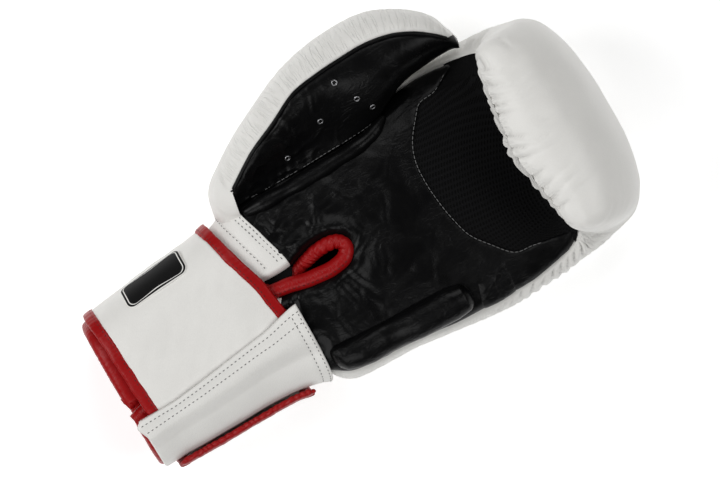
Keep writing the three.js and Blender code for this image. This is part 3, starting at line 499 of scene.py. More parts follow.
def drift(points, size, seed, waves=7):
    """A smooth wandering value over space, about -1 to 1, of a given size in millimetres."""
    chance = np.random.default_rng(seed)
    total = np.zeros(points.shape[:-1])
    for _ in range(waves):
        way = unit(chance.normal(size=3))
        wave = way * 2 * math.pi / (size * chance.uniform(0.7, 1.6))
        total += np.sin(points @ wave + chance.uniform(0, 6.3))
    return total / math.sqrt(waves)


def grid_normals(grid, wrap=False):
    """Normals of a grid of points [rows, columns], to the left of its rows."""
    if wrap:
        across = np.roll(grid, -1, 1) - np.roll(grid, 1, 1)
    else:
        across = np.gradient(grid, axis=1)
    return unit(np.cross(across, np.gradient(grid, axis=0)))


def softened(normals, passes, wrap=False):
    """Normals averaged with their neighbours' on the grid."""
    for _ in range(passes):
        across = np.pad(normals, ((0, 0), (1, 1), (0, 0)), mode="wrap" if wrap else "edge")
        across = across[:, :-2] + across[:, 1:-1] + across[:, 2:]
        down = np.pad(across, ((1, 1), (0, 0), (0, 0)), mode="edge")
        normals = unit(down[:-2] + down[1:-1] + down[2:])
    return normals


def creased(points, size, seed):
    """Wandering folds: 1 on a fold's crest, 0 beside it."""
    return np.maximum(1 - 1.7 * np.abs(drift(points, size, seed)), 0) ** 1.5


def even_shares(points):
    """The share of a line's length at which each of its points lies."""
    along = run(points)
    return along / along[-1]


def slab(outer, inner, keep=None, wrap=False):
    """The points and faces of a closed body between two skins on one grid; keep says which cells it has."""
    rows, columns = outer.shape[:2]
    index = np.arange(rows * columns).reshape(rows, columns)
    if wrap:
        index = np.hstack([index, index[:, :1]])
    a, b, c, d = index[:-1, :-1], index[:-1, 1:], index[1:, 1:], index[1:, :-1]
    cells = np.stack([a, b, c, d], -1)
    cells = cells[keep] if keep is not None else cells.reshape(-1, 4)
    edges = np.concatenate([cells[:, [i, (i + 1) % 4]] for i in range(4)])
    count = rows * columns
    there = edges[:, 0] * count + edges[:, 1]
    back = edges[:, 1] * count + edges[:, 0]
    rim = edges[~np.isin(back, there)]
    faces = np.concatenate([cells, cells[:, ::-1] + count,
                            np.stack([rim[:, 1], rim[:, 0], rim[:, 0] + count, rim[:, 1] + count], -1)])
    return np.concatenate([outer.reshape(-1, 3), inner.reshape(-1, 3)]), faces


def make(name, points, faces, finishes, uv=None, inside=None, fold_shade=None):
    """A piece from points in millimetres, none of them under the floor.

    uv has a pair of millimetres for each point, and the last argument is painted shade: how deep in a fold
    each point lies, to darken its colour there.
    inside is 1 for each face that has the second finish.
    """
    points = np.maximum(points, (-np.inf, -np.inf, -PLACE[2]))
    used = np.unique(faces)
    place = np.full(len(points), -1)
    place[used] = np.arange(len(used))
    mesh = bpy.data.meshes.new(name)
    mesh.from_pydata(((points[used] + PLACE) * MM).tolist(), [], place[faces].tolist())
    for finish in finishes:
        mesh.materials.append(finish)
    if inside is not None:
        mesh.polygons.foreach_set("material_index", inside.astype(np.int32))
    if uv is not None:
        layer = mesh.uv_layers.new(name="seam")
        at = np.zeros(len(mesh.loops), np.int32)
        mesh.loops.foreach_get("vertex_index", at)
        layer.data.foreach_set("uv", (uv[used][at] * MM).astype(np.float32).ravel())
    if fold_shade is not None:
        mesh.attributes.new("fold_shade", "FLOAT", "POINT").data.foreach_set("value", fold_shade[used].astype(np.float32))
    work = bmesh.new()
    work.from_mesh(mesh)
    bmesh.ops.remove_doubles(work, verts=work.verts, dist=2e-6)
    bmesh.ops.dissolve_degenerate(work, dist=1e-7, edges=work.edges)
    if work.calc_volume(signed=True) < 0:
        bmesh.ops.reverse_faces(work, faces=work.faces)
    work.to_mesh(mesh)
    work.free()
    mesh.polygons.foreach_set("use_smooth", np.ones(len(mesh.polygons), bool))
    piece = bpy.data.objects.new(name, mesh)
    bpy.context.scene.collection.objects.link(piece)
    return piece


def finished(piece, slot, *nodes):
    """The piece, riding on the glove, with the parts that it stands for hidden; slot is not used."""
    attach(piece, "root")
    if nodes:
        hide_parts(*nodes)
    return piece


def ring_faces(count, sides):
    """The four-sided faces round a stack of rings."""
    index = np.arange(count * sides).reshape(count, sides)
    onward = np.roll(index, -1, 1)
    return np.stack([index[:-1], onward[:-1], onward[1:], index[1:]], -1).reshape(-1, 4)


def ring_body(rings, poles=None):
    """A closed body through rings of points, with a fan to a pole over either end."""
    count, sides = rings.shape[:2]
    first, last = poles or (rings[0].mean(0), rings[-1].mean(0))
    points = np.vstack([rings.reshape(-1, 3), first, last])
    near = np.arange(sides)
    far = near + (count - 1) * sides
    near_pole, far_pole = 0 * near + len(points) - 2, 0 * near + len(points) - 1
    near_cap = np.stack([np.roll(near, -1), near, near_pole, near_pole], -1)
    far_cap = np.stack([far, np.roll(far, -1), far_pole, far_pole], -1)
    return points, np.concatenate([ring_faces(count, sides), near_cap, far_cap])


def tube(line, radius, sides):
    """A round bar along a line of points: its points and faces."""
    radius = np.broadcast_to(radius, (len(line),))[:, None, None]
    along = unit(np.gradient(line, axis=0))
    side = unit(np.cross(along, np.array((0, 0, 1.0))))
    top = unit(np.cross(side, along))
    turn = np.linspace(0, 2 * math.pi, sides, endpoint=False)[:, None]
    rings = line[:, None] + side[:, None] * (np.cos(turn) * radius) + top[:, None] * (np.sin(turn) * radius)
    return ring_body(rings, (line[0], line[-1]))


def boxed(turn, power):
    """Across and up round a bar's outline, squarer than a circle where power is under 1."""
    across, up = np.cos(turn), np.sin(turn)
    return np.sign(across) * np.abs(across) ** power, np.sign(up) * np.abs(up) ** power


def joined(parts):
    """Several bodies' points and faces as one."""
    points, faces, count = [], [], 0
    for p, f in parts:
        points.append(p)
        faces.append(f + count)
        count += len(p)
    return np.concatenate(points), np.concatenate(faces)


def bead(sides=6, rings=4):
    """A small closed bead, one unit long and wide each way from its middle, along X."""
    turn = np.linspace(0, 2 * math.pi, sides, endpoint=False)
    lean = np.linspace(0, math.pi, rings + 2)[1:-1]
    ring = [(math.cos(a), math.sin(a) * math.cos(t), math.sin(a) * math.sin(t)) for a in lean for t in turn]
    points = np.array([(1, 0, 0)] + ring + [(-1, 0, 0)])
    faces = []
    for s in range(sides):
        n = (s + 1) % sides
        faces.append((0, 1 + s, 1 + n, 1 + n))
        for r in range(rings - 1):
            a = 1 + r * sides
            faces.append((a + s, a + sides + s, a + sides + n, a + n))
        a = 1 + (rings - 1) * sides
        faces.append((a + s, len(points) - 1, a + n, a + n))
    return points, np.array(faces)


BEAD = bead()
STITCH_PROUD = 0.1
STITCH_FLATNESS = 0.8


def stitches(line, normals, pitch, size, radius):
    """Stitches laid along a line on a surface, as one body of beads."""
    along = run(line)
    middles = np.arange(pitch / 2, along[-1], pitch)
    at = np.stack([np.interp(middles, along, line[:, i]) for i in range(3)], -1)
    up = unit(np.stack([np.interp(middles, along, normals[:, i]) for i in range(3)], -1))
    ahead = np.stack([np.interp(middles + 0.5, along, line[:, i]) for i in range(3)], -1)
    behind = np.stack([np.interp(middles - 0.5, along, line[:, i]) for i in range(3)], -1)
    way = unit(ahead - behind)
    side = unit(np.cross(up, way))
    points, faces = BEAD
    parts = []
    for m, u, w, s in zip(at, up, way, side):
        beads = points[:, :1] * w * (size / 2) + points[:, 1:2] * s * radius
        beads = beads + points[:, 2:] * u * radius * STITCH_FLATNESS
        parts.append((m + u * STITCH_PROUD + beads, faces))
    return joined(parts)


class Value:
    """A node's output, with the arithmetic that a look needs."""

    def __init__(self, look, socket):
        self.look = look
        self.socket = socket

    def maths(self, operation, *others):
        """This value, and any others after it, through one Math node."""
        return self.look.node("Math", dict(enumerate((self, *others))), operation=operation)

    def after(self, operation, first):
        """A number and then this value, through one Math node."""
        return self.look.node("Math", {0: first, 1: self}, operation=operation)

    def __add__(self, other):
        return self.maths("ADD", other)

    def __sub__(self, other):
        return self.maths("SUBTRACT", other)

    def __mul__(self, other):
        return self.maths("MULTIPLY", other)

    def __truediv__(self, other):
        return self.maths("DIVIDE", other)

    def __radd__(self, other):
        return self.maths("ADD", other)

    def __rsub__(self, other):
        return self.after("SUBTRACT", other)

    def __rmul__(self, other):
        return self.maths("MULTIPLY", other)

    def __rtruediv__(self, other):
        return self.after("DIVIDE", other)

    def __abs__(self):
        return self.maths("ABSOLUTE")

    def ramped(self, low, high, to_low=0.0, to_high=1.0):
        """The value stretched smoothly from one range to another."""
        sockets = {0: self, 1: low, 2: high, 3: to_low, 4: to_high}
        return self.look.node("MapRange", sockets, interpolation_type="SMOOTHSTEP")


class Look:
    """A material being made."""

    def __init__(self, name):
        self.material = bpy.data.materials.new("glove_" + name)
        self.material.use_nodes = True
        self.tree = self.material.node_tree
        self.shader = self.tree.nodes["Principled BSDF"]

    def feed(self, socket, value):
        """Links a value to a socket, or sets a constant on it."""
        if isinstance(value, Value):
            self.tree.links.new(value.socket, socket)
        else:
            socket.default_value = value

    def node(self, kind, sockets=None, output=0, **settings):
        """A new node's output, once its settings are made and its sockets are fed."""
        made = self.tree.nodes.new("ShaderNode" + kind)
        for name, value in settings.items():
            setattr(made, name, value)
        for name, value in (sockets or {}).items():
            self.feed(made.inputs[name], value)
        return Value(self, made.outputs[output])

    def place(self, scale=(1, 1, 1), turn=0.0, seam=False):
        """Coordinates in millimetres: of the object, or along and away from the seam."""
        source = self.node("UVMap", uv_map="seam") if seam else self.node("TexCoord", output=3)
        scaled = tuple(s * 1000 for s in scale)
        return self.node("Mapping", {"Vector": source, "Scale": scaled, "Rotation": (0, 0, turn)})

    def noise(self, vector, scale=1.0, detail=3.0, rough=0.5, distortion=0.0):
        """Soft noise over the coordinates, about 0 to 1."""
        return self.node("TexNoise", {
            "Vector": vector, "Scale": scale, "Detail": detail, "Roughness": rough, "Distortion": distortion})

    def cells(self, vector, scale=1.0, chance=1.0):
        """Distance to the nearest of many points: scattered, or in even rows where chance is 0."""
        return self.node("TexVoronoi", {"Vector": vector, "Scale": scale, "Randomness": chance})

    def mix(self, factor, a, b):
        """A colour between two."""
        return self.node("Mix", {0: factor, 6: a, 7: b}, 2, data_type="RGBA")

    def bump(self, height, distance, normal=None):
        """A normal for a relief of a given height in millimetres, over another normal where one is given."""
        sockets = {"Height": height, "Distance": distance * MM, "Strength": 1.0}
        if normal:
            sockets["Normal"] = normal
        return self.node("Bump", sockets)

    def finish(self, **inputs):
        """The material, with values for the shader's sockets."""
        for name, value in inputs.items():
            self.feed(self.shader.inputs[name.replace("_", " ")], value)
        return self.material


def shade(colour, factor):
    """A colour made darker by a factor."""
    return tuple(c * factor for c in colour[:3]) + (1.0,)


def leather_look(name, colour, rough, grain, grain_depth, crease_depth, worn, shine, seam=None, fold_shade_darkness=None):
    """Leather: pebbled grain, fine creases, and painted shade in the folds, as dark as the last argument
    says.

    seam is the pitch, reach and depth of creases that run square to the seam, whose valleys get painted
    shade.
    """
    look = Look(name)
    where = look.place()
    pebbles = look.cells(where, 1 / grain)
    pores = look.noise(where, 3.2, 2)
    soft = look.noise(where, 0.05, 4, 0.55, 0.4)
    lines = abs(look.noise(look.place((0.12, 0.3, 0.2), 0.5), 1, 2, 0.45, 0.5) - 0.5).ramped(0.0, 0.11)
    height = pebbles * 0.6 + pores * 0.4
    normal = look.bump(height, grain_depth)
    normal = look.bump(lines * soft.ramped(0.45, 0.6), crease_depth, normal)
    tone = soft.ramped(0.3, 0.7) * 0.5 + pebbles.ramped(0.0, 0.6) * 0.5
    if seam:
        pitch, reach, depth = seam
        uv = look.place((1 / pitch, 1 / reach, 1), seam=True)
        fine = abs(look.noise(uv, 1.0, 2.5, 0.5, 0.25) - 0.5).ramped(0.0, 0.085)
        split = look.node("SeparateXYZ", {0: look.place((1, 1, 1), seam=True)}, 1)
        near = split.ramped(1.5, 5.0) * split.ramped(reach * 0.7, reach * 1.5, 1.0, 0.0)
        folds = (1 - fine) * near
        normal = look.bump(1 - folds, depth, normal)
        # painted shade: the creases' valleys darkened by up to 40%
        tone = tone * (1 - folds * 0.4)
    base = look.mix(tone, shade(colour, worn), colour)
    if fold_shade_darkness:
        # painted shade: the colour darkened where the mesh's attribute says a point lies deep in a fold
        base = look.mix(look.node("Attribute", output=2, attribute_name="fold_shade"), base, shade(colour, fold_shade_darkness))
    roughness = soft.ramped(0.3, 0.7, rough - 0.05, rough + 0.06) + pores * 0.05
    return look.finish(Base_Color=base, Roughness=roughness, Normal=normal, Specular_IOR_Level=shine)


def mesh_look(colour):
    """Spacer mesh: rows of small round holes, with painted shade in them, between raised threads."""
    look = Look("black_mesh")
    holes = look.cells(look.place((0.42, 0.42, 0.42), math.radians(45), seam=True), 1.0, 0.0)
    open_hole = holes.ramped(0.2, 0.36, 1.0, 0.0)
    threads = look.noise(look.place((3, 3, 3)), 1.0, 2)
    normal = look.bump((1 - open_hole) * 0.8 + threads * 0.2, 0.5)
    # painted shade: the open holes drawn at 5% of the mesh's colour, for the shade inside them
    base = look.mix(open_hole, colour, shade(colour, 0.05))
    return look.finish(Base_Color=base, Roughness=0.7, Normal=normal, Specular_IOR_Level=0.1)


def lining_look(colour):
    """The woven lining inside the glove."""
    look = Look("black_lining")
    weave = look.node("TexChecker", {"Vector": look.place(), "Scale": 1.4}, 1)
    threads = look.noise(look.place((2, 2, 2)), 1.0, 3)
    return look.finish(Base_Color=look.mix(threads, shade(colour, 0.6), colour), Roughness=0.85,
                       Normal=look.bump(weave * 0.5 + threads, 0.15), Specular_IOR_Level=0.2)


def thread_look(name, colour):
    """Twisted thread."""
    look = Look(name)
    twist = look.noise(look.place((5, 5, 5)), 1.0, 2)
    return look.finish(Base_Color=look.mix(twist, shade(colour, 0.7), colour), Roughness=0.6,
                       Normal=look.bump(twist, 0.08))


def metal_look(colour):
    """The scuffed metal of the air holes' rings."""
    look = Look("eyelet_metal")
    scuffs = look.noise(look.place((1, 1, 1)), 1.3, 4)
    return look.finish(Base_Color=look.mix(scuffs, shade(colour, 0.7), colour), Metallic=1.0,
                       Roughness=scuffs.ramped(0.3, 0.7, 0.2, 0.42), Normal=look.bump(scuffs, 0.03))


def label_look(black, white):
    """A black label with a white border and a thin white line inside it; its middle is left bare."""
    look = Look("label_print")
    edge = look.node("SeparateXYZ", {0: look.place(seam=True)}, 1)
    border = edge.ramped(0.35, 0.5, 1.0, 0.0)
    line = 1 - abs(edge - 1.9).ramped(0.22, 0.36)
    weave = look.noise(look.place((1, 1, 1)), 3.0, 2)
    base = look.mix(border.maths("MAXIMUM", line), black, white)
    return look.finish(Base_Color=base, Roughness=0.5, Normal=look.bump(weave, 0.06), Specular_IOR_Level=0.15)


DARK_THREAD = (0.14, 0.14, 0.135, 1)


def looks(name):
    """The material of that name, made on first use from the colours in the sidebar."""
    made = bpy.data.materials.get("glove_" + name)
    if made:
        return made
    colours = bpy.context.scene.glove_colours
    sizes = bpy.context.scene.glove_sizes
    grain = sizes.grain / MM
    white, black, red = tuple(colours.white), tuple(colours.black), tuple(colours.red)
    makers = {
        "white_leather": lambda: leather_look(name, white, 0.44, grain, 0.08, 0.03, 0.95, 0.5),
        "white_thumb_leather": lambda: leather_look(
            name, white, 0.44, grain, 0.08, 0.03, 0.95, 0.5, (2.8, 26.0, 0.24)),
        # painted shade in the valleys of the gathers and pleats, down to 0.52 of the colour
        "white_fist_leather": lambda: leather_look(
            name, white, 0.44, grain, 0.07, 0.02, 0.95, 0.5, (3.6, 11.0, 0.2), 0.52),
        "black_leather": lambda: leather_look(name, black, 0.29, grain * 1.2, 0.05, 0.1, 0.7, 0.14),
        "red_leather": lambda: leather_look(name, red, 0.32, grain, 0.04, 0.05, 0.85, 0.2),
        "red_gathered_leather": lambda: leather_look(
            name, red, 0.32, grain, 0.04, 0.05, 0.85, 0.2, (2.4, 8.0, 0.1)),
        "black_mesh": lambda: mesh_look(tuple(colours.mesh)),
        "black_lining": lambda: lining_look(tuple(colours.mesh)),
        "grey_thread": lambda: thread_look(name, tuple(colours.thread)),
        "dark_thread": lambda: thread_look(name, DARK_THREAD),
        "red_thread": lambda: thread_look(name, shade(red, 0.35)),
        "eyelet_metal": lambda: metal_look(tuple(colours.metal)),
        "label_print": lambda: label_look(black, white),
    }
    return makers[name]()


def gathers(along, away, pitch, reach, seed, points, sharp=0.7):
    """Puffs between folds that run away from a seam: 1 on a puff, 0 in a fold, fading with distance."""
    wander = 0.5 * drift(points, 4 * pitch, seed) + 0.9 * drift(points, 14 * pitch, seed + 1)
    puff = np.abs(np.sin(math.pi * (along / pitch + wander))) ** sharp
    far = reach * (1 + 0.35 * drift(points, 2.2 * pitch, seed + 2))
    return (puff - 0.62) * np.exp(-(away / np.maximum(far, 1)) ** 2)


def rounded(away, reach, depth):
    """How far a padded edge falls towards its seam."""
    share = np.clip(1 - away / reach, 0, 1)
    return -depth * (1 - np.sqrt(np.maximum(1 - share ** 2, 0)))


def body_rows(start, end, pitch):
    """Stations between two that are about evenly spaced along the outside of the form."""
    fine = np.linspace(start, end, 600)
    line = body.point(fine, np.full(600, 150.0))
    share = even_shares(line)
    count = max(int(length(np.diff(line, axis=0)).sum() / pitch), 4)
    return np.interp(np.linspace(0, 1, count), share, fine)


def ring_angles(stations, start, end, count):
    """Angles for each station, evenly spaced along its outline between two angles."""
    fine = np.linspace(0, 1, 240)
    angles = lerp(start[:, None], end[:, None], fine[None])
    line = body.point(stations[:, None] + 0 * angles, angles)
    steps = length(np.diff(line, axis=1))
    along = np.concatenate([np.zeros((len(stations), 1)), np.cumsum(steps, 1)], 1)
    along /= along[:, -1:]
    wanted = np.linspace(0, 1, count)
    return np.stack([np.interp(wanted, a, angle) for a, angle in zip(along, angles)])


def side_seam(thumb_side, start, end, count=500):
    """The points of a side seam between two stations."""
    stations = np.linspace(start, end, count)
    return body.point(stations, seam_angle(stations, thumb_side))


def build_fist(sizes):
    """The white leather over the back, the sides and the finger roll."""
    pitch = sizes.skin_pitch / MM
    roll_seam = WRIST + ROLL_SEAM_STATION
    stations = np.concatenate([
        body_rows(body.station_at(np.array(-1.5)), roll_seam, pitch),
        np.linspace(roll_seam, body.last, 12)[1:]])
    thumb_side, little_side = seam_angle(stations, True), seam_angle(stations, False) + 360
    white = ring_angles(stations, thumb_side, little_side, int(250 / pitch))
    palm = ring_angles(stations, little_side, thumb_side + 360, int(120 / pitch))[:, 1:-1]
    angles = np.hstack([white, palm])
    s = stations[:, None] + 0 * angles
    outer = body.point(s, angles)
    normals = -grid_normals(outer, wrap=True)
    outward = np.sign((normals * (outer - body.at("middle", s))).sum(-1))[..., None]
    normals = softened(normals * np.where(outward == 0, 1, outward), 3, wrap=True)
    roll_edge = np.linspace(seam_angle(roll_seam, False), seam_angle(roll_seam, True), 200)
    seam = Line(np.vstack([side_seam(False, WRIST, roll_seam), body.point(np.full(200, roll_seam), roll_edge),
                           side_seam(True, WRIST, roll_seam)[::-1]]))
    wrist = Line(body.point(np.full(200, body.station_at(np.array(1.5))), np.linspace(60, 300, 200)))
    away, along = seam.near(outer)
    from_wrist, _ = wrist.near(outer)
    tightness = smoothstep(s, WRIST + 4.5, WRIST + 8)
    rim = smoothstep(s, WRIST + 11.4, WRIST + 12.6)
    shape = rounded(away, *SIDE_SEAM_FALL) + rounded(from_wrist, *WRIST_SEAM_FALL)
    depth = sizes.gather_depth / MM
    puffs = depth * (0.2 + 0.9 * tightness) * gathers(along, away * (1 - rim), *ROLL_GATHERS, outer)
    puffs += 0.3 * depth * (0.3 + tightness) * (1 - rim) * gathers(along, away, *ROLL_WRINKLES, outer)
    tucked_under = np.arange(angles.shape[1]) >= white.shape[1]
    shape -= 2.4 * tucked_under * (1 - smoothstep(s, WRIST + 11.8, WRIST + 12.5))
    side = Line(body.point(np.linspace(WRIST + 1, WRIST + 9, 300), np.full(300, 255.0)))
    little = smoothstep(s, WRIST + 2.5, WRIST + 3.8) * (1 - smoothstep(s, WRIST + 7.2, WRIST + 8.6))
    little = little * (outer[..., 1] < 0) * smoothstep(away, 0, 5)
    pleats = gathers(side.near(outer)[1], away, *LITTLE_PLEATS, outer, PLEAT_SHARPNESS)
    pleats = sizes.pleat_depth / MM * little * pleats
    shape += puffs + pleats
    # painted shade: how deep each point lies in the valley of a gather or pleat, to darken its colour
    fold_shade = np.clip(-puffs / (0.5 * depth) - 0.35, 0, 1) * 0.5 + np.clip(-2.2 * pleats / 3.4 - 0.15, 0, 1)
    shape += 0.5 * drift(outer, 70, 8) + 0.18 * drift(outer, 24, 9)
    skin = outer + normals * shape[..., None]
    finger_end = WRIST + FINGER_END_STATION
    held = np.minimum(s, finger_end)
    inner = body.point(held, angles, walls(held))
    hub = body.at("middle", np.array(finger_end))
    inner = lerp(inner, hub, smoothstep(s, finger_end, finger_end + 0.5)[..., None])
    skin = np.concatenate([skin, np.broadcast_to(skin[-1].mean(0), (1, *skin.shape[1:]))])
    inner = np.concatenate([inner, inner[-1:]])
    keep = np.ones((len(skin) - 1, skin.shape[1]), bool)
    keep[:len(stations) - 12, white.shape[1] - 1:] = False
    points, faces = slab(skin, inner, keep, wrap=True)
    uv = np.stack([along, away], -1)
    uv = np.concatenate([uv, uv[-1:]]).reshape(-1, 2)
    fold_shade = np.concatenate([fold_shade, fold_shade[-1:]]).ravel()
    inside = np.arange(len(faces)) >= keep.sum()
    piece = make("fist_shell_leather", points, faces, [looks("white_fist_leather"), looks("black_lining")],
                 np.vstack([uv, uv]), inside, np.concatenate([fold_shade, fold_shade]))
    return [finished(piece, "white_leather", "fist_shell")]


PALM_INSET = 0.4  # how far the palm leather stays inside the side seams
UNDER_CUFF = 2.0  # how far it starts under the cuff's edge


def palm_grid(columns, rows):
    """Angles and stations of the palm leather, from the cuff's edge to the mesh, little finger side first."""
    share = np.linspace(0, 1, columns)
    fine = np.linspace(WRIST - 0.3, WRIST + 8, 500)
    little, thumb_side = seam_angle(fine, False, -PALM_INSET), seam_angle(fine, True, -PALM_INSET)
    angles = lerp(little[:, None], thumb_side[:, None], share[None])
    points = body.point(fine[:, None] + 0 * angles, angles)
    past_mesh = points[..., 0] - mesh_edge_x(points[..., 1])
    past_cuff = points[..., 0] - cuff_edge_x(points[..., 1])
    ends = []
    for past, after in ((past_cuff, -UNDER_CUFF), (past_mesh, 0.0)):
        first = np.maximum(np.argmax(past > after, axis=0), 1)
        j = np.arange(columns)
        low, high = past[first - 1, j] - after, past[first, j] - after
        ends.append(lerp(fine[first - 1], fine[first], np.clip(-low / (high - low), 0, 1)))
    k = np.linspace(0, 1, rows)[:, None]
    stations = lerp(ends[0][None], ends[1][None], k)
    angle = lerp(np.interp(stations, fine, little), np.interp(stations, fine, thumb_side), share[None])
    return stations, angle, ends


def palm_relief(points):
    """The palm leather's folds: a bulge round the slit, gathers towards it and soft creases."""
    away, along, _ = beside_slit(points)
    near = np.exp(-(away / 34) ** 2)
    relief = 1.6 * smoothstep(points[..., 0], 6, 24) * np.exp(-((away - 9.5) / 4.5) ** 2)
    relief += gathers(along, away, *SLIT_GATHERS, points) * smoothstep(away, 3, 6)
    relief += 0.4 * gathers(along, away, *SLIT_WRINKLES, points)
    relief += (0.3 + 0.8 * near) * creased(points, 26, 16) + (0.14 + 0.34 * near) * creased(points, 11, 17)
    return relief + 0.35 * drift(points, 45, 11) + 0.1 * drift(points, 13, 15)


def build_palm():
    """The black palm leather, the mesh between it and the roll, and the little finger's panel."""
    stations, angles, ends = palm_grid(110, 90)
    outer = body.point(stations, angles)
    normals = grid_normals(outer)
    normals = normals * np.sign(normals[..., 2:])
    slit_away, slit_along, _ = beside_slit(outer)
    mesh_away, _ = Line(outer[-1]).near(outer)
    sides_away = np.minimum(Line(outer[:, 0]).near(outer)[0], Line(outer[:, -1]).near(outer)[0])
    shape = rounded(sides_away, *PALM_SIDE_FALL) + palm_relief(outer) + rounded(mesh_away, *PALM_MESH_FALL)
    shape -= 1.2 * over_little_panel(outer)
    skin = tucked(outer + normals * shape[..., None])
    inside_slit = in_slit(outer[..., 0], outer[..., 1]) | (slit_away < 0.45 * SLIT_BINDING_SHOWN)
    cells = ~(inside_slit[:-1, :-1] & inside_slit[1:, :-1] & inside_slit[:-1, 1:] & inside_slit[1:, 1:])
    points, faces = slab(skin, skin - normals * PALM_THICK, cells)
    uv = np.stack([slit_along, slit_away], -1).reshape(-1, 2)
    inside = np.arange(len(faces)) >= cells.sum()
    inside[2 * cells.sum():] = False
    palm = make("palm_leather", points, faces, [looks("black_leather"), looks("black_lining")],
                np.vstack([uv, uv]), inside)
    palm = finished(palm, "black_leather", "palm_panel")
    return [palm, build_mesh(ends[1] - MESH_TUCK), build_little_panel()]


MESH_TUCK = 0.12  # how far the mesh starts under the palm leather, in stations
MESH_OVERLAP = 0.5  # how far it runs past the roll's seam, in stations
MESH_OUTSET = 0.6  # how far it reaches past the side seams


def build_mesh(start):
    """The breathing mesh between the palm leather and the finger roll, from stations start."""
    stations = lerp(start[None], WRIST + ROLL_SEAM_STATION + MESH_OVERLAP, np.linspace(0, 1, 100)[:, None])
    little, thumb_side = seam_angle(stations, False, MESH_OUTSET), seam_angle(stations, True, MESH_OUTSET)
    angles = lerp(little, thumb_side, np.linspace(0, 1, len(start))[None])
    outer = body.point(stations, angles, -1.0)
    normals = grid_normals(outer)
    middle = body.at("middle", stations)
    normals = normals * np.sign((normals * (outer - middle)).sum(-1))[..., None]
    tuck = smoothstep(stations, WRIST + 10.5, WRIST + 12)
    across = np.cumsum(np.pad(length(np.diff(outer, axis=1)), ((0, 0), (1, 0))), 1)
    down = np.cumsum(np.pad(length(np.diff(outer, axis=0)), ((1, 0), (0, 0))), 0)
    shape = 0.5 * drift(outer, 34, 21) - 4.0 * tuck
    crease = np.exp(-((stations - WRIST - 6) / 1.2) ** 2)
    shape -= 0.8 * crease * (0.5 + 0.5 * drift(outer, 18, 22))
    skin = outer + normals * shape[..., None]
    points, faces = slab(skin, skin - normals * MESH_THICK)
    uv = np.stack([across, down], -1).reshape(-1, 2)
    net = make("palm_mesh_fabric", points, faces, [looks("black_mesh")], np.vstack([uv, uv]))
    return finished(net, "black_mesh", "palm_mesh")


SLIT_SAMPLES = slit_curve(np.linspace(0, 1, 600))
SLIT_END = SLIT_END_ROW / (len(SLIT_PATH) - 1)
SLIT_LITTLE = SLIT_SAMPLES[:1 + int(600 * SLIT_END)]
SLIT_THUMB = SLIT_SAMPLES[int(600 * SLIT_END):][::-1]
SLIT_LINE = Line(SLIT_SAMPLES * (1, 1, 0), 0.4)


def in_slit(x, y):
    """Whether points in plan lie in the slit, inside the middle of its binding."""
    low = np.interp(x, SLIT_LITTLE[:, 0], SLIT_LITTLE[:, 1])
    high = np.interp(x, SLIT_THUMB[:, 0], SLIT_THUMB[:, 1])
    return (x < SLIT_SAMPLES[:, 0].max()) & (y > low) & (y < high)


def beside_slit(points):
    """How far points lie from the slit's binding in plan, where along it, and its height there."""
    away, along = SLIT_LINE.near(points * (1, 1, 0))
    return away, along, np.interp(along, run(SLIT_SAMPLES * (1, 1, 0)), SLIT_SAMPLES[:, 2])


def tucked(skin):
    """Leather brought down beside the slit, so that it ends under its binding."""
    away, _, height = beside_slit(skin)
    low = np.minimum(skin[..., 2], height - 0.6)
    found = skin.copy()
    beside = smoothstep(away, 0.6 * SLIT_BINDING_SHOWN, 1.75 * SLIT_BINDING_SHOWN)
    found[..., 2] = lerp(low, skin[..., 2], beside)
    return found


# x, y, from the mesh to the side seam
LITTLE_PANEL_WRIST_EDGE = np.array([(0.462, -0.37), (0.448, -0.46), (0.446, -0.56)])
LITTLE_PANEL_FRONT_EDGE = np.array([(0.558, -0.345), (0.552, -0.44), (0.545, -0.56)])


def over_little_panel(points):
    """1 under the small panel at the little finger, 0 beside it."""
    x, y = points[..., 0] / HAND_LENGTH, points[..., 1] / FIST_WIDTH
    back = np.interp(y, LITTLE_PANEL_WRIST_EDGE[::-1, 1], LITTLE_PANEL_WRIST_EDGE[::-1, 0])
    front = np.interp(y, LITTLE_PANEL_FRONT_EDGE[::-1, 1], LITTLE_PANEL_FRONT_EDGE[::-1, 0])
    inner = smoothstep(x, back + 0.006, back + 0.022) * (1 - smoothstep(x, front - 0.022, front - 0.006))
    return inner * (1 - smoothstep(y, -0.39, -0.37))


def build_little_panel():
    """The small black panel beside the mesh, at the little finger side."""
    v = np.linspace(0, 1, 40)
    u = np.linspace(0, 1, 44)[:, None]
    low = spline(LITTLE_PANEL_WRIST_EDGE, v) * (HAND_LENGTH, FIST_WIDTH)
    high = spline(LITTLE_PANEL_FRONT_EDGE, v) * (HAND_LENGTH, FIST_WIDTH)
    plan = lerp(low[None], high[None], u[..., None])
    station = body.station_at(plan[..., 0])
    start = body.angle_at(station, np.broadcast_to(plan[:, :1, 1], station.shape))
    angle = lerp(start, seam_angle(station, False, -0.3), v[None])
    outer = body.point(station, angle)
    normals = grid_normals(outer)
    normals = softened(normals * np.sign(normals[..., 2:]), 2)
    rim = np.minimum.reduce([u * 18 + 0 * v, (1 - u) * 18 + 0 * v, v * 20 + 0 * u])
    shape = palm_relief(outer) + rounded(rim, *LITTLE_PANEL_FALL)
    shape += rounded((1 - v) * 20, *PALM_SIDE_FALL) + 0.7
    shape += 0.35 * creased(outer, 16, 32)
    skin = outer + normals * shape[..., None]
    points, faces = slab(skin, skin - normals * LITTLE_PANEL_THICK)
    piece = make("little_finger_leather", points, faces, [looks("black_leather")])
    return finished(piece, "black_leather", "little_finger_panel")


THUMB_LAST_ANGLE = 276.0
THUMB_SUNK = -0.4  # where its leather ends, just inside the hand's skin


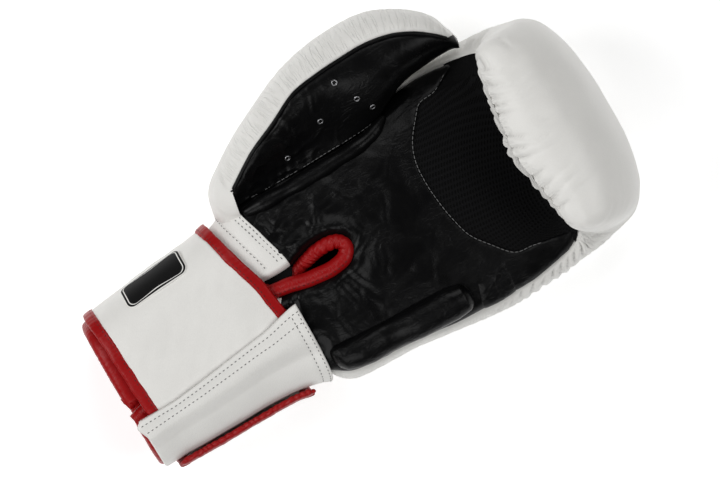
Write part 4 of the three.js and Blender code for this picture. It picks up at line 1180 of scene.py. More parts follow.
def thumb_angles(count=150):
    """For stations along the thumb, where its white leather starts and ends, on either side of its back."""
    stations = np.linspace(0.02, thumb.last - 0.02, count)
    share = (thumb.at("middle", stations)[:, 0] - THUMB_START) / THUMB_LENGTH
    edges = spline(THUMB_PANEL_EDGES, np.linspace(0, 1, 400), even=False)
    outer_y = np.interp(share, edges[:, 0], edges[:, 2]) * THUMB_REACH
    start = thumb.angle_at(stations, outer_y)
    panel_from = THUMB_PANEL_EDGES[0, 0]
    start = lerp(PALM_SIDE_ANGLE, start, smoothstep(share, panel_from - 0.035, panel_from - 0.002))
    grid_s = np.linspace(0, body.last, 160)[:, None]
    grid_a = np.linspace(0, 360, 120, endpoint=False)[None]
    skin = body.point(grid_s + 0 * grid_a, grid_a + 0 * grid_s)
    tree = BVHTree.FromPolygons(skin.reshape(-1, 3).tolist(), ring_faces(*skin.shape[:2]).tolist())
    centres = body.at("middle", grid_s[:, 0])

    def outside(point):
        """How far a point lies outside the hand's skin."""
        at, normal, face, _ = tree.find_nearest(Vector(point))
        out = np.array(at) - centres[face // 120]
        sign = 1 if np.dot(np.array(normal), out) > 0 else -1
        return sign * float(np.dot(np.array(point) - np.array(at), np.array(normal)))

    fine = np.linspace(100, THUMB_LAST_ANGLE, 60)
    end = np.full(count, THUMB_LAST_ANGLE)
    low_start = np.linspace(-30, PALM_SIDE_ANGLE, 20)
    for i, station in enumerate(stations):
        reach = [outside(p) for p in thumb.point(np.full(60, station), fine)]
        for j, value in enumerate(reach):
            if value < THUMB_SUNK:
                end[i] = fine[j]
                break
        if share[i] < panel_from:
            inner = [outside(p) for p in thumb.point(np.full(20, station), low_start)]
            for j, value in enumerate(inner):
                if value < THUMB_SUNK:
                    start[i] = max(start[i], low_start[j])
                    break
    end = np.convolve(np.pad(end, 3, mode="edge"), np.ones(7) / 7, mode="valid")
    return stations, start, end


def build_thumb(sizes):
    """The thumb: its white padded leather, black inner panel, piping, padded seam and air holes."""
    pitch = sizes.skin_pitch / MM
    stations, start, end = thumb_angles()
    line = thumb.point(stations, np.full(len(stations), 60.0))
    share = even_shares(line)
    rows = int(230 / pitch)
    wanted = np.linspace(0, 1, rows)
    s = np.interp(wanted, share, stations)
    first, last = np.interp(s, stations, start), np.interp(s, stations, end)
    fine = np.linspace(0, 1, 200)
    angles = lerp(first[:, None], last[:, None], fine[None])
    ring = thumb.point(s[:, None] + 0 * angles, angles)
    along_ring = np.concatenate([np.zeros((rows, 1)), np.cumsum(length(np.diff(ring, axis=1)), 1)], 1)
    along_ring /= np.maximum(along_ring[:, -1:], 1e-6)
    columns = int(130 / pitch)
    even = np.linspace(0, 1, columns)
    angles = np.stack([np.interp(even, a, b) for a, b in zip(along_ring, angles)])
    s = s[:, None] + 0 * angles
    outer = thumb.point(s, angles)
    normals = unit(outer - thumb.at("middle", s))
    turned = grid_normals(outer)
    turned = turned * np.sign((turned * normals).sum(-1))[..., None]
    seam = Line(panel_point(np.ones(400), np.linspace(0, 1, 400)))
    away, along = seam.near(outer)
    body_side, body_along = Line(outer[:, -1]).near(outer)
    middle = smoothstep(along, 15, 55) * (1 - smoothstep(along, 175, 200))
    shape = rounded(away, *THUMB_RIM_FALL) + rounded(body_side, *THUMB_ROOT_FALL)
    shape += 0.4 * (0.3 + middle) * gathers(along, away, *THUMB_GATHERS, outer)
    shape += 0.26 * (0.25 + middle) * gathers(along, away, *THUMB_WRINKLES, outer)
    shape += 0.5 * gathers(body_along, body_side, *THUMB_ROOT_GATHERS, outer)
    shape += 0.35 * drift(outer, 60, 47)
    skin = outer + turned * shape[..., None]
    inner = lerp(outer, thumb.at("middle", s), 0.14) - turned * 0.5
    base = np.broadcast_to(thumb.at("middle", s[0, 0]) - (0.6, 0, 0), (1, columns, 3))
    skin = np.concatenate([base, skin, np.broadcast_to(thumb_tip(), (1, columns, 3))])
    inner_tip = np.broadcast_to(thumb_tip() - (3, 0, 0), (1, columns, 3))
    inner = np.concatenate([base + (1.5, 0, 0), inner, inner_tip])
    along, away = (np.concatenate([v[:1], v, v[-1:]]) for v in (along, away))
    points, faces = slab(skin, inner)
    uv = np.stack([along, away], -1).reshape(-1, 2)
    inside = np.arange(len(faces)) >= (rows + 1) * (columns - 1)
    piece = make("thumb_leather", points, faces, [looks("white_thumb_leather"), looks("black_lining")],
                 np.vstack([uv, uv]), inside)
    pieces = [finished(piece, "white_leather", "thumb_shell")]

    pieces.append(build_thumb_panel(seam))
    line = panel_point(np.full(300, 1.0), np.linspace(0.004, 0.996, 300))
    line[:, 2] += 0.1
    piping = make("thumb_piping", *tube(line, PIPING_RADIUS, 10), [looks("black_leather")])
    pieces += [finished(piping, "black_leather"), build_seam_roll(), *build_eyelets()]
    return pieces


def thumb_tip():
    """The very tip of the thumb."""
    return thumb.at("middle", np.array(float(thumb.last))) + (1.2, 0, 0)


def build_thumb_panel(seam):
    """The black leather inside the thumb, from the padded seam round the thumb's tip."""
    i = np.linspace(0, 1, 72)[None]
    k = np.linspace(0.004, 0.996, 160)[:, None]
    web = panel_point(i + 0 * k, k + 0 * i)
    end = thumb.station_at(web[-1, 0, 0])
    tip = np.linspace(end, thumb.last - 0.02, 9)[1:, None]
    edge = thumb.angle_at(tip, THUMB_PANEL_EDGES[-1, 2] * THUMB_REACH)
    tip = thumb.point(tip, lerp(PALM_SIDE_ANGLE, edge, i))
    tucks = [web[:1] + step for step in ((-3.0, 0, -8.0), (-2.7, 0, -3.0), (-1.6, 0, -0.8))]
    outer = np.concatenate([*tucks, web, tip])
    normals = grid_normals(outer)
    normals = softened(normals * np.sign(normals[..., 2:]), 1)
    share = np.clip((outer[..., 0] - THUMB_START) / THUMB_LENGTH, 0, 1)
    near_edge, _ = seam.near(outer)
    base = 1 - smoothstep(share, 0.3, 0.6)
    roll_away, roll_along = Line(outer[:, 0]).near(outer)
    shape = rounded(near_edge, *THUMB_PANEL_FALL) + 0.3 * drift(outer, 40, 51)
    folds = 0.55 * creased(outer, 22, 52) + 0.18 * creased(outer, 10, 53) + 0.08 * drift(outer, 8, 54)
    shape += (0.15 + base) * folds
    shape += 0.7 * base * gathers(roll_along, roll_away, *THUMB_PANEL_GATHERS, outer)
    skin = outer + normals * shape[..., None]
    inner = skin - normals * (THUMB_PANEL - 1)
    skin = np.concatenate([skin, np.broadcast_to(thumb_tip(), (1, 72, 3))])
    inner = np.concatenate([inner, np.broadcast_to(thumb_tip() - (2, 0, 0), (1, 72, 3))])
    points, faces = slab(skin, inner)
    panel = make("thumb_panel_leather", points, faces, [looks("black_leather")])
    return finished(panel, "black_leather", "thumb_panel")


def seam_roll_line(count):
    """The middle of the padded seam, beside the thumb panel's inner edge."""
    edges = spline(THUMB_PANEL_EDGES, np.linspace(0, 1, 400), even=False)
    x = np.array(SEAM_ROLL) * HAND_LENGTH
    y = np.interp((x - THUMB_START) / THUMB_LENGTH, edges[:, 0], edges[:, 1]) * THUMB_REACH
    y = y - SEAM_ROLL_BESIDE * SEAM_ROLL_RADIUS
    knots = on_body(x, y)
    knots = np.stack([x, y, knots[:, 2] + SEAM_ROLL_RADIUS / 8], -1)
    return spline(knots, np.linspace(0, 1, count))


def build_seam_roll():
    """The padded seam between palm and thumb."""
    count = 160
    line = seam_roll_line(count)
    share = np.linspace(0, 1, count)
    swell = np.clip(np.minimum(share * 9, (1 - share) * 3.2), 0, 1) ** 0.6
    radius = SEAM_ROLL_RADIUS * (0.35 + 0.65 * swell) * (1 + 0.05 * drift(line, 10, 61))
    points, faces = tube(line, radius, 24)
    piece = make("thumb_seam_roll_leather", points, faces, [looks("black_leather")])
    return finished(piece, "black_leather", "thumb_seam_roll")


def build_eyelets():
    """The metal rings of the air holes in the thumb panel."""
    pieces = []
    step = 0.02
    for number, (along, across) in enumerate(EYELETS, 1):
        centre = panel_point(np.array(across), np.array(along))
        side = panel_point(np.array(across + step), np.array(along)) - centre
        ahead = panel_point(np.array(across), np.array(along + step)) - centre
        normal = unit(np.cross(side, ahead))
        normal = normal * np.sign(normal[2])
        place = (centre + normal * EYELET_PROUD + PLACE) * MM
        bpy.ops.object.select_all(action="DESELECT")
        bpy.ops.mesh.primitive_torus_add(
            major_segments=16, minor_segments=6, major_radius=EYELET_RING_RADIUS * MM,
            minor_radius=EYELET_WIRE_RADIUS * MM, location=place,
            rotation=Vector(normal).to_track_quat("Z", "Y").to_euler())
        ring = bpy.context.object
        bpy.ops.object.transform_apply(location=True, rotation=True, scale=True)
        ring.name = f"eyelet_ring_{number}"
        ring.data.materials.append(looks("eyelet_metal"))
        bpy.ops.object.shade_smooth()
        pieces.append(finished(ring, "eyelet_metal", f"eyelet_{number}"))
    return pieces


def build_heel_pad():
    """The padded sausage along the little finger side of the palm."""
    share = np.linspace(0, 1, 120)
    route = spline(HEEL_PAD[:, :2] * (HAND_LENGTH, FIST_WIDTH), share, even=False) + (0, 1.4)
    ends = np.sqrt(1 - np.clip(1 - np.minimum(share, 1 - share) / 0.06, 0, 1) ** 2)
    wide, proud = (spline(HEEL_PAD[:, 2:], share, even=False) * ends[:, None]).T
    station = body.station_at(route[:, 0])
    angle = body.angle_at(station, route[:, 1])
    centre = body.point(station, angle)
    across = unit(body.point(station, angle + 2) - body.point(station, angle - 2))
    out = np.stack([0 * share, -across[:, 2], across[:, 1]], -1)
    turn = np.linspace(0, 2 * math.pi, 60, endpoint=False)[None]
    up = np.sin(turn)
    height = np.where(up > 0, np.abs(up) ** 0.8 * proud[:, None] * HEEL_PAD_PROUD, up * HEEL_PAD_SUNK)
    sideways = (np.cos(turn) * wide[:, None] * HEEL_PAD_SHOWN / 2)[..., None]
    rings = centre[:, None] + across[:, None] * sideways + out[:, None] * height[..., None]
    shape = 0.25 * drift(rings, 26, 71) + 0.12 * creased(rings, 14, 72)
    rings = rings + unit(rings - centre[:, None]) * (shape * (height > 1))[..., None]
    points, faces = ring_body(rings, (centre[0], centre[-1]))
    piece = make("heel_pad_leather", points, faces, [looks("black_leather")])
    return [finished(piece, "black_leather", "heel_pad")]


def build_cuff():
    """The white wrist wall and the red binding round its open end."""
    columns, rows = 170, 90
    first_x = -CUFF_LENGTH + CUFF_BINDING_WIDTH * 0.5
    fine = np.linspace(body.station_at(np.array(first_x)), WRIST + 0.9, 300)
    x = body.at("middle", fine)[:, 0]
    low = np.interp(x, SLIT_LITTLE[:, 0], SLIT_LITTLE[:, 1])
    high = np.interp(x, SLIT_THUMB[:, 0], SLIT_THUMB[:, 1])
    start, end = body.angle_at(fine, high), body.angle_at(fine, low) + 360
    spread = ring_angles(fine, start, end, columns)
    points = body.point(fine[:, None] + 0 * spread, spread)
    top = np.cos(np.radians(spread)) > 0
    edge = np.where(top, cuff_edge_x(points[..., 1]), 1.2)
    past = points[..., 0] - edge
    stop = np.maximum(np.argmax(past > 0, axis=0), 1)
    j = np.arange(columns)
    a, b = past[stop - 1, j], past[stop, j]
    ends = lerp(fine[stop - 1], fine[stop], np.clip(-a / (b - a), 0, 1))
    k = np.linspace(0, 1, rows)[:, None]
    stations = lerp(fine[0], ends[None], k)
    angles = np.stack([np.interp(stations[:, c], fine, spread[:, c]) for c in range(columns)], 1)
    outer = body.point(stations, angles)
    normals = grid_normals(outer)
    out = np.sign((normals * (outer - body.at("middle", stations))).sum(-1))[..., None]
    normals = normals * np.where(out == 0, 1, out)
    hem = Line(outer[-1])
    away, along = hem.near(outer)
    on_top = smoothstep(np.cos(np.radians(angles)), 0.1, 0.4)
    lift = 0.9 * on_top * smoothstep(-away, -14, -4)
    back = (1 - on_top) * rounded(away, *CUFF_HEM_FALL)
    under_strap = smoothstep(stations, WRIST - 0.3, WRIST + 0.2)
    shape = lift + back + under_strap * 0.25 * drift(outer, 20, 81)
    floor = smoothstep(outer[..., 2], 3, 9)
    skin = tucked(outer + normals * (shape * floor)[..., None])
    inner = body.point(stations, angles, walls(np.minimum(stations, WRIST)))
    points, faces = slab(skin, inner)
    uv = np.stack([along, away], -1).reshape(-1, 2)
    cells = (columns - 1) * (rows - 1)
    inside = (np.arange(len(faces)) >= cells) & (np.arange(len(faces)) < 2 * cells)
    piece = make("cuff_leather", points, faces, [looks("white_leather"), looks("black_lining")],
                 np.vstack([uv, uv]), inside)
    return [finished(piece, "white_leather", "cuff"), build_cuff_binding()]


def build_cuff_binding():
    """The red binding round the cuff's open end, from one side of the slit to the other."""
    low, high = SLIT_LITTLE[0, 1], SLIT_THUMB[0, 1]
    station = body.station_at(np.array(-CUFF_LENGTH))
    start, end = body.angle_at(station, high) - 2, body.angle_at(station, low) + 362
    angles = ring_angles(np.array([station, station]), np.array([start, start]), np.array([end, end]), 420)[0]
    turn = np.linspace(0, 2 * math.pi, 22, endpoint=False)
    along_cuff, out = boxed(turn, 0.7)
    reach = -CUFF_WALL / 2 + out * (CUFF_WALL / 2 + 0.9)
    on_palm = smoothstep(np.cos(np.radians(angles)), 0.0, 0.5)
    wide = CUFF_BINDING_WIDTH + 1.2 + CUFF_BINDING_PALM * on_palm
    x = -CUFF_LENGTH - 0.6 + (0.5 + 0.5 * along_cuff[None]) * wide[:, None]
    angle = angles[:, None] + 0 * x
    ring = body.point(body.station_at(x), angle, np.broadcast_to(reach, angle.shape))
    centre = ring.mean(1, keepdims=True)
    along = run(centre[:, 0])[:, None] + 0 * angle
    puckers = 0.22 * gathers(along, 0 * along, *CUFF_PUCKERS, ring) + 0.15 * drift(ring, 9, 84)
    ring = ring + unit(ring - centre) * puckers[..., None]
    from_end = np.minimum(along, along[-1] - along)[..., None]
    ring = centre + (ring - centre) * np.sqrt(1 - np.clip(1 - from_end / 3, 0, 1) ** 2)
    ring[..., 2] = np.maximum(ring[..., 2], 0.4)
    points, faces = ring_body(ring)
    uv = np.stack([along, turn[None] * 3 + 0 * along], -1).reshape(-1, 2)
    binding = make("cuff_binding_leather", points, faces, [looks("red_leather")], np.vstack([uv, uv[:2]]))
    return finished(binding, "red_leather", "cuff_binding")


def build_slit_binding():
    """The red piping round the slit in cuff and palm."""
    share = np.linspace(0, 1, 700)
    line = slit_curve(share)
    bent = smoothstep(share, SLIT_END - 0.08, SLIT_END)
    turn = np.linspace(0, 2 * math.pi, 28, endpoint=False)
    way = unit(np.gradient(line, axis=0))
    side = unit(np.cross(way, np.array((0, 0, 1.0))))
    top = unit(np.cross(side, way))
    along = run(line)[:, None] + 0 * turn[None]
    radius = SLIT_BINDING_SHOWN * lerp(1, 0.94, bent)[:, None]
    rings = (line[:, None] + side[:, None] * (np.cos(turn)[None] * radius)[..., None]
             + top[:, None] * (np.sin(turn)[None] * radius * 0.95)[..., None])
    puff = np.abs(np.sin(math.pi * (along / 3.3 + 0.5 * drift(rings, 12, 91)))) ** 0.8 - 0.6
    inner_side = 0.5 - 0.5 * np.cos(turn)[None]
    shape = bent[:, None] * puff * (0.3 + 0.6 * inner_side) + 0.02 * puff + 0.1 * drift(rings, 12, 92)
    rings = rings + unit(rings - line[:, None]) * shape[..., None]
    points, faces = ring_body(rings)
    uv = np.stack([along, turn[None] * 3.6 + 0 * along], -1).reshape(-1, 2)
    uv = np.vstack([uv, uv[:2]])
    piece = make("slit_binding_leather", points, faces, [looks("red_gathered_leather")], uv)
    return [finished(piece, "red_leather", "slit_binding")]


def strip_grid(edges, starts, end, reach, across, along):
    """Points of a strip round the cuff, [along, across]."""
    i = np.linspace(0, 1, across)[None]
    k = np.linspace(0, 1, along)[:, None]
    turn = lerp(lerp(*starts, i), end, k)
    x = lerp(*edges(turn), i)
    return strap_point(turn, x, reach)


def binding_body(name, edges, start, end, node):
    """A folded leather band, round at both edges, along one side of the strap."""
    turn_round = np.linspace(0, 2 * math.pi, 20, endpoint=False)
    wide, thick = boxed(turn_round, 0.55)
    i = (0.5 + 0.5 * wide)[None]
    k = np.linspace(0, 1, 420)[:, None]
    turn = lerp(start + 0 * i, end, k)
    x = lerp(*edges(turn), i)
    reach = STRAP_THICK / 2 + thick[None] * (STRAP_THICK / 2 + BINDING_PROUD) + 0 * k
    rings = strap_point(turn, x, reach)
    centre = rings.mean(1, keepdims=True)
    far = run(centre[:, 0])[:, None] + 0 * i
    puff = np.abs(np.sin(math.pi * (far / 3.2 + 0.4 * drift(rings, 14, 101)))) - 0.6
    shape = 0.12 * puff + 0.16 * drift(rings, 9, 102)
    rings = rings + unit(rings - centre) * shape[..., None]
    rings[..., 2] = np.maximum(rings[..., 2], 0.05)
    points, faces = ring_body(rings)
    uv = np.stack([far, turn_round[None] * 2.4 + 0 * far], -1).reshape(-1, 2)
    piece = make(name, points, faces, [looks("red_leather")], np.vstack([uv, uv[:2]]))
    return finished(piece, "red_leather", node)


STITCHED_AT = (PATCH_BY_CUFF - STRAP_TUCK, PATCH_BY_HAND - STRAP_TUCK)


def build_strap():
    """The white wrist strap with its red bindings and its label."""
    inset = BINDING_WIDTH - 0.6
    wound = END_BINDING_TURN + 1.0

    def hand(turn):
        return strap_edge(turn, 1)

    def cuff(turn):
        return strap_edge(turn, 2)

    def white_edges(turn):
        return cuff(turn) + inset, hand(turn) - inset

    outer = strip_grid(white_edges, STITCHED_AT, wound, STRAP_THICK - 0.3, 60, 260)
    inner = strip_grid(white_edges, STITCHED_AT, wound, 0.2, 60, 260)
    normals = unit(outer - inner)
    across = np.linspace(0, 1, 60)[None]
    edges_away = np.minimum(across * 80, 80 - across * 80)
    shape = 0.3 * drift(outer, 40, 111) + 0.1 * drift(outer, 12, 112) + 0.3 * smoothstep(edges_away, 0, 8)
    outer = outer + normals * (shape * smoothstep(outer[..., 2], 4, 12))[..., None]
    points, faces = slab(outer, inner)
    strap = make("strap_leather", points, faces, [looks("white_leather")])
    pieces = [finished(strap, "white_leather", "strap")]
    for name, node, edges, start in (
        ("strap_binding_hand_leather", "strap_binding_hand_side",
         lambda turn: (hand(turn) - BINDING_WIDTH, hand(turn)), STITCHED_AT[1]),
        ("strap_binding_cuff_leather", "strap_binding_cuff_side",
         lambda turn: (cuff(turn), cuff(turn) + BINDING_WIDTH), STITCHED_AT[0]),
    ):
        pieces.append(binding_body(name, edges, start, END_BINDING_TURN - 0.3, node))
    return [*pieces, build_strap_end(hand, cuff), build_label()]


def build_strap_end(hand, cuff):
    """The gathered binding of the strap's free end."""
    k = np.linspace(0, 1, 260)[:, None]
    turn_round = np.linspace(0, 2 * math.pi, 20, endpoint=False)
    wide, thick = (way[None] for way in boxed(turn_round, 0.6))
    last = STRAP_EDGES[-1, 0]
    turn = lerp(END_BINDING_TURN, last, 0.5 + 0.5 * wide) + 0 * k
    x = lerp(cuff(turn), hand(turn), k)
    corner = np.clip(np.minimum(k, 1 - k) * 22, 0, 1) ** 0.5
    middle_turn = (END_BINDING_TURN + last) / 2
    turn = middle_turn + (turn - middle_turn) * (0.35 + 0.65 * corner)
    reach = STRAP_THICK / 2 + thick * (STRAP_THICK / 2 + BINDING_PROUD) * (0.4 + 0.6 * corner)
    rings = strap_point(turn, x, reach)
    centre = rings.mean(1, keepdims=True)
    far = run(centre[:, 0])[:, None] + 0 * wide
    puff = np.abs(np.sin(math.pi * (far / 4.2 + 0.5 * drift(rings, 15, 121)))) ** 0.8 - 0.6
    outside = 0.5 + 0.5 * wide
    shape = puff * (0.1 + 0.9 * outside ** 3) + 0.15 * drift(rings, 8, 122)
    rings = rings + unit(rings - centre) * shape[..., None]
    points, faces = ring_body(rings)
    uv = np.stack([far, turn_round[None] * 2.4 + 0 * far], -1).reshape(-1, 2)
    piece = make("strap_end_leather", points, faces, [looks("red_gathered_leather")], np.vstack([uv, uv[:2]]))
    return finished(piece, "red_leather", "strap_end_binding")


def build_label():
    """The black label on the strap, a plate with round corners."""
    half_long, corner = LABEL_LENGTH / 2, LABEL_CORNER
    middle = sum(LABEL_TURNS) / 2
    fine = np.linspace(20, 90, 400)
    arc = strap_point(fine, np.full(400, LABEL_MIDDLE * CUFF_LENGTH), STRAP_THICK)
    far = run(arc)
    far = far - np.interp(middle, fine, far)
    half_wide = (np.interp(LABEL_TURNS[1], fine, far) - np.interp(LABEL_TURNS[0], fine, far)) / 2
    turn = np.linspace(0, 2 * math.pi, 160, endpoint=False)
    way = np.stack([np.cos(turn), np.sin(turn)], -1)
    square = (half_long - corner, half_wide - corner)

    def past_edge(reach):
        """How far a point at this reach lies outside the outline with its round corners."""
        return length(np.maximum(np.abs(way * reach[:, None]) - square, 0)) - corner

    outline = way * root(past_edge, np.zeros(160), np.full(160, 60.0))[:, None]
    rings = np.array([0.0, 0.15, 0.3, 0.45, 0.6, 0.75, 0.85, 0.93, 0.975, 1.0])
    plan = outline[None] * rings[:, None, None]
    turns = np.interp(plan[..., 1], far, fine)

    def straight(reach):
        """A surface over the strap that is straight along the cuff, as a stiff plate lies."""
        x = LABEL_MIDDLE * CUFF_LENGTH
        ends = strap_point(turns, x - half_long, reach), strap_point(turns, x + half_long, reach)
        return lerp(*ends, (plan[..., 0] / LABEL_LENGTH + 0.5)[..., None])

    top = straight(STRAP_THICK + GAP + LABEL_THICK - 0.35 * smoothstep(rings, 0.95, 1)[:, None])
    bottom = straight(STRAP_THICK - 0.6)
    points, faces = slab(top, bottom, wrap=True)
    from_edge = (1 - rings[:, None]) * length(outline)[None] + 0 * plan[..., 0]
    uv = np.stack([plan[..., 0], from_edge], -1).reshape(-1, 2)
    piece = make("label_plate", points, faces, [looks("label_print")], np.vstack([uv, uv]))
    return finished(piece, "label_print", "label")


def patch_corner(across, along):
    """The patch's raised corner by the strap and the hand."""
    return 1.6 * np.exp(-(across * 9) ** 2 - ((1 - along) * 9) ** 2)


def patch_surface(across, along, reach=0.0):
    """The patch as it shows: over the cuff's binding, with its corners drawn out or rounded."""
    by_cuff = (1 - smoothstep(along, 0, 0.12)) * (0.2 + 0.8 * smoothstep(across, 0, 0.05))
    found = patch_point(across, along, reach + patch_corner(across, along) + 0.9 * by_cuff)
    by_strap = 1 - smoothstep(across, 0, 0.35)
    at_corner = (1 - smoothstep(along, 0, 0.2)) * (1 - smoothstep(across, 0, 0.16))
    pulled = np.stack([-4.5 * by_cuff - 3.5 * at_corner,
                       3.2 * smoothstep(along, 0.75, 1) * by_strap + 2.0 * at_corner, 0 * by_cuff], -1)
    return found + pulled


def patch_face(across, along):
    """The patch's outside, with its worn edges and the valleys along its stitches."""
    outer = patch_surface(across, along, PATCH_THICK)
    normals = unit(outer - patch_surface(across, along))
    rim = np.minimum(np.minimum(across * 60, (1 - across) * 60), np.minimum(along * 100, (1 - along) * 100))
    rows = np.minimum(np.abs(across * 60 - 4.5), np.abs((1 - along) * 100 - 5))
    shape = rounded(rim, *PATCH_RIM_FALL) + 0.3 * drift(outer, 30, 131) - 0.25 * np.exp(-(rows / 1.5) ** 2)
    return outer + normals * shape[..., None]


def build_patch():
    """The stitched patch of white leather that holds the strap's root."""
    i = np.linspace(0, 1, 90)[None]
    k = np.linspace(0, 1, 110)[:, None]
    points, faces = slab(patch_face(i + 0 * k, k + 0 * i), patch_surface(i + 0 * k, k + 0 * i))
    piece = make("strap_patch_leather", points, faces, [looks("white_leather")])
    return [finished(piece, "white_leather", "strap_patch")]


def surface_line(function, first, second):
    """A line on a surface given by two shares, with its normals."""
    line = function(first, second)
    side, ahead = function(first + 0.01, second) - line, function(first, second + 0.01) - line
    normals = unit(np.cross(side, ahead))
    return line, normals * np.where(normals[:, 2:] < 0, -1, 1)


def build_stitches(sizes):
    """Every row of stitches, grouped by thread."""
    pitch, width = sizes.stitch_pitch / MM, sizes.stitch_width / MM
    count = 200
    dark, grey, red = [], [], []

    even = np.linspace(0.012, 0.985, count)
    for across in (0.035, 0.1):
        dark.append(surface_line(patch_face, np.full(count, across), even))
    for along in (0.945, 0.985):
        dark.append(surface_line(patch_face, np.linspace(0.04, 0.97, count), np.full(count, along)))

    def cuff_top(y, back):
        return on_body(cuff_edge_x(y) - back, y, 0.95)

    for back in (1.8, 4.6, 12.5):
        y = np.linspace(13.5, 52, count)
        dark.append(surface_line(cuff_top, y, np.full(count, back)))

    fine = plan_line(MESH_EDGE, 300)[6:-16]
    line = on_body(np.minimum(fine[:, 0], 151), fine[:, 1], 0.1)
    grey.append((line, np.broadcast_to((0, 0, 1.0), line.shape)))

    grey.append(surface_line(panel_point, np.full(count, 0.02), np.linspace(0.02, 0.5, count)))

    for column, inward in ((1, -BINDING_WIDTH * 0.72), (2, BINDING_WIDTH * 0.72)):
        turns = np.linspace(STITCHED_AT[2 - column], END_BINDING_TURN, 500)
        x = strap_edge(turns, column) + inward
        line = strap_point(turns, x, STRAP_THICK + BINDING_PROUD - 0.1)
        red.append((line, unit(line - strap_point(turns, x, 0.0))))
    line = slit_curve(np.linspace(2.2 / (len(SLIT_PATH) - 1), SLIT_END - 0.03, count))
    lean = np.array((0, -0.55, 0.83))
    red.append((line + lean * (SLIT_BINDING_SHOWN + 0.05), np.broadcast_to(lean, line.shape)))
    pieces = []
    for name, rows, look, slot, size in (
        ("stitches_dark", dark, "dark_thread", "black_leather", 0.5),
        ("stitches_grey", grey, "grey_thread", "white_leather", 0.88),
        ("stitches_red", red, "red_thread", "red_leather", 0.6),
    ):
        body_parts = [stitches(line, normals, pitch, pitch * size, width) for line, normals in rows]
        pieces.append(finished(make(name, *joined(body_parts), [looks(look)]), slot))
    return pieces


# name, direction from the glove in degrees from +X, power in watts
LAMPS = (("left", 150, 12.7), ("lower_left", 235, 7.2), ("right", 330, 6.8), ("upper", 60, 6.0))
WORLD_LIGHT = 0.04
FLOOR_SIZE = 6
FLOOR_DROP = 0.0002  # keeps it from showing through what rests on it
FLOOR_GLOW = 0.4
LAMP_SIZE = 0.9
LAMP_AWAY = 1.1
LAMP_HEIGHT = 1.2
LAMP_TARGET = Vector((0.0, -0.01, 0.05))
CAMERA_TURN = -30  # the photograph shows the glove turned by this
CAMERA_MIDDLE = (0.00102, -0.01765)
CAMERA_AWAY = 5.0
LOOKED_AT_HEIGHT = 0.06
PHOTO_WIDTH = 720  # px
PHOTO_SCALE = 0.547  # mm per px
FILM_WIDTH = 36


def build_stage():
    """The floor, the lights and the camera."""
    scene = bpy.context.scene
    world = bpy.data.worlds.new("studio")
    world.use_nodes = True
    world.node_tree.nodes["Background"].inputs["Color"].default_value = (1, 1, 1, 1)
    world.node_tree.nodes["Background"].inputs["Strength"].default_value = WORLD_LIGHT
    scene.world = world
    scene.view_settings.view_transform = "Standard"
    bpy.ops.object.select_all(action="DESELECT")
    bpy.ops.mesh.primitive_plane_add(size=FLOOR_SIZE, location=(0, 0, -FLOOR_DROP))
    floor = bpy.context.object
    floor.name = "floor"
    look = Look("floor")
    speck = look.noise(look.place((0.01, 0.01, 0.01)), 1.0, 2)
    floor.data.materials.append(look.finish(
        Base_Color=look.mix(speck, (0.9, 0.9, 0.9, 1), (0.93, 0.93, 0.93, 1)), Roughness=0.7,
        Emission_Color=(1, 1, 1, 1), Emission_Strength=FLOOR_GLOW))
    for name, turn, power in LAMPS:
        light = bpy.data.lights.new(name, "AREA")
        light.size = LAMP_SIZE
        light.energy = power
        lamp = bpy.data.objects.new(name, light)
        turn = math.radians(turn)
        lamp.location = (math.cos(turn) * LAMP_AWAY, math.sin(turn) * LAMP_AWAY, LAMP_HEIGHT)
        lamp.rotation_euler = (LAMP_TARGET - lamp.location).to_track_quat("-Z", "Y").to_euler()
        scene.collection.objects.link(lamp)
    camera = bpy.data.objects.new("camera", bpy.data.cameras.new("camera"))
    scene.collection.objects.link(camera)
    camera.location = (*CAMERA_MIDDLE, CAMERA_AWAY + LOOKED_AT_HEIGHT)
    camera.rotation_euler = (0, 0, math.radians(CAMERA_TURN))
    camera.data.sensor_width = FILM_WIDTH
    camera.data.lens = FILM_WIDTH * CAMERA_AWAY / (PHOTO_WIDTH * PHOTO_SCALE * MM)
    camera.data.clip_end = 50
    scene.camera = camera


class GloveSizes(bpy.types.PropertyGroup):
    """Sizes of the glove's finish."""

    skin_pitch: bpy.props.FloatProperty(
        name="Skin pitch", description="Distance between the points of the leather", default=0.0016,
        min=0.001, max=0.006, unit="LENGTH", subtype="DISTANCE")
    gather_depth: bpy.props.FloatProperty(
        name="Gather depth", description="Depth of the gathers round the finger roll", default=0.0019,
        min=0.0, max=0.005, unit="LENGTH", subtype="DISTANCE")
    pleat_depth: bpy.props.FloatProperty(
        name="Pleat depth", description="Depth of the pleats beside the little finger", default=0.0034,
        min=0.0, max=0.005, unit="LENGTH", subtype="DISTANCE")
    grain: bpy.props.FloatProperty(
        name="Grain", description="Size of the pebbles of the leather's grain", default=0.0008,
        min=0.0003, max=0.003, unit="LENGTH", subtype="DISTANCE")
    stitch_pitch: bpy.props.FloatProperty(
        name="Stitch pitch", description="Distance from stitch to stitch", default=0.0027,
        min=0.001, max=0.008, unit="LENGTH", subtype="DISTANCE")
    stitch_width: bpy.props.FloatProperty(
        name="Thread width", description="Half the width of the thread", default=0.00025,
        min=0.0001, max=0.001, unit="LENGTH", subtype="DISTANCE")


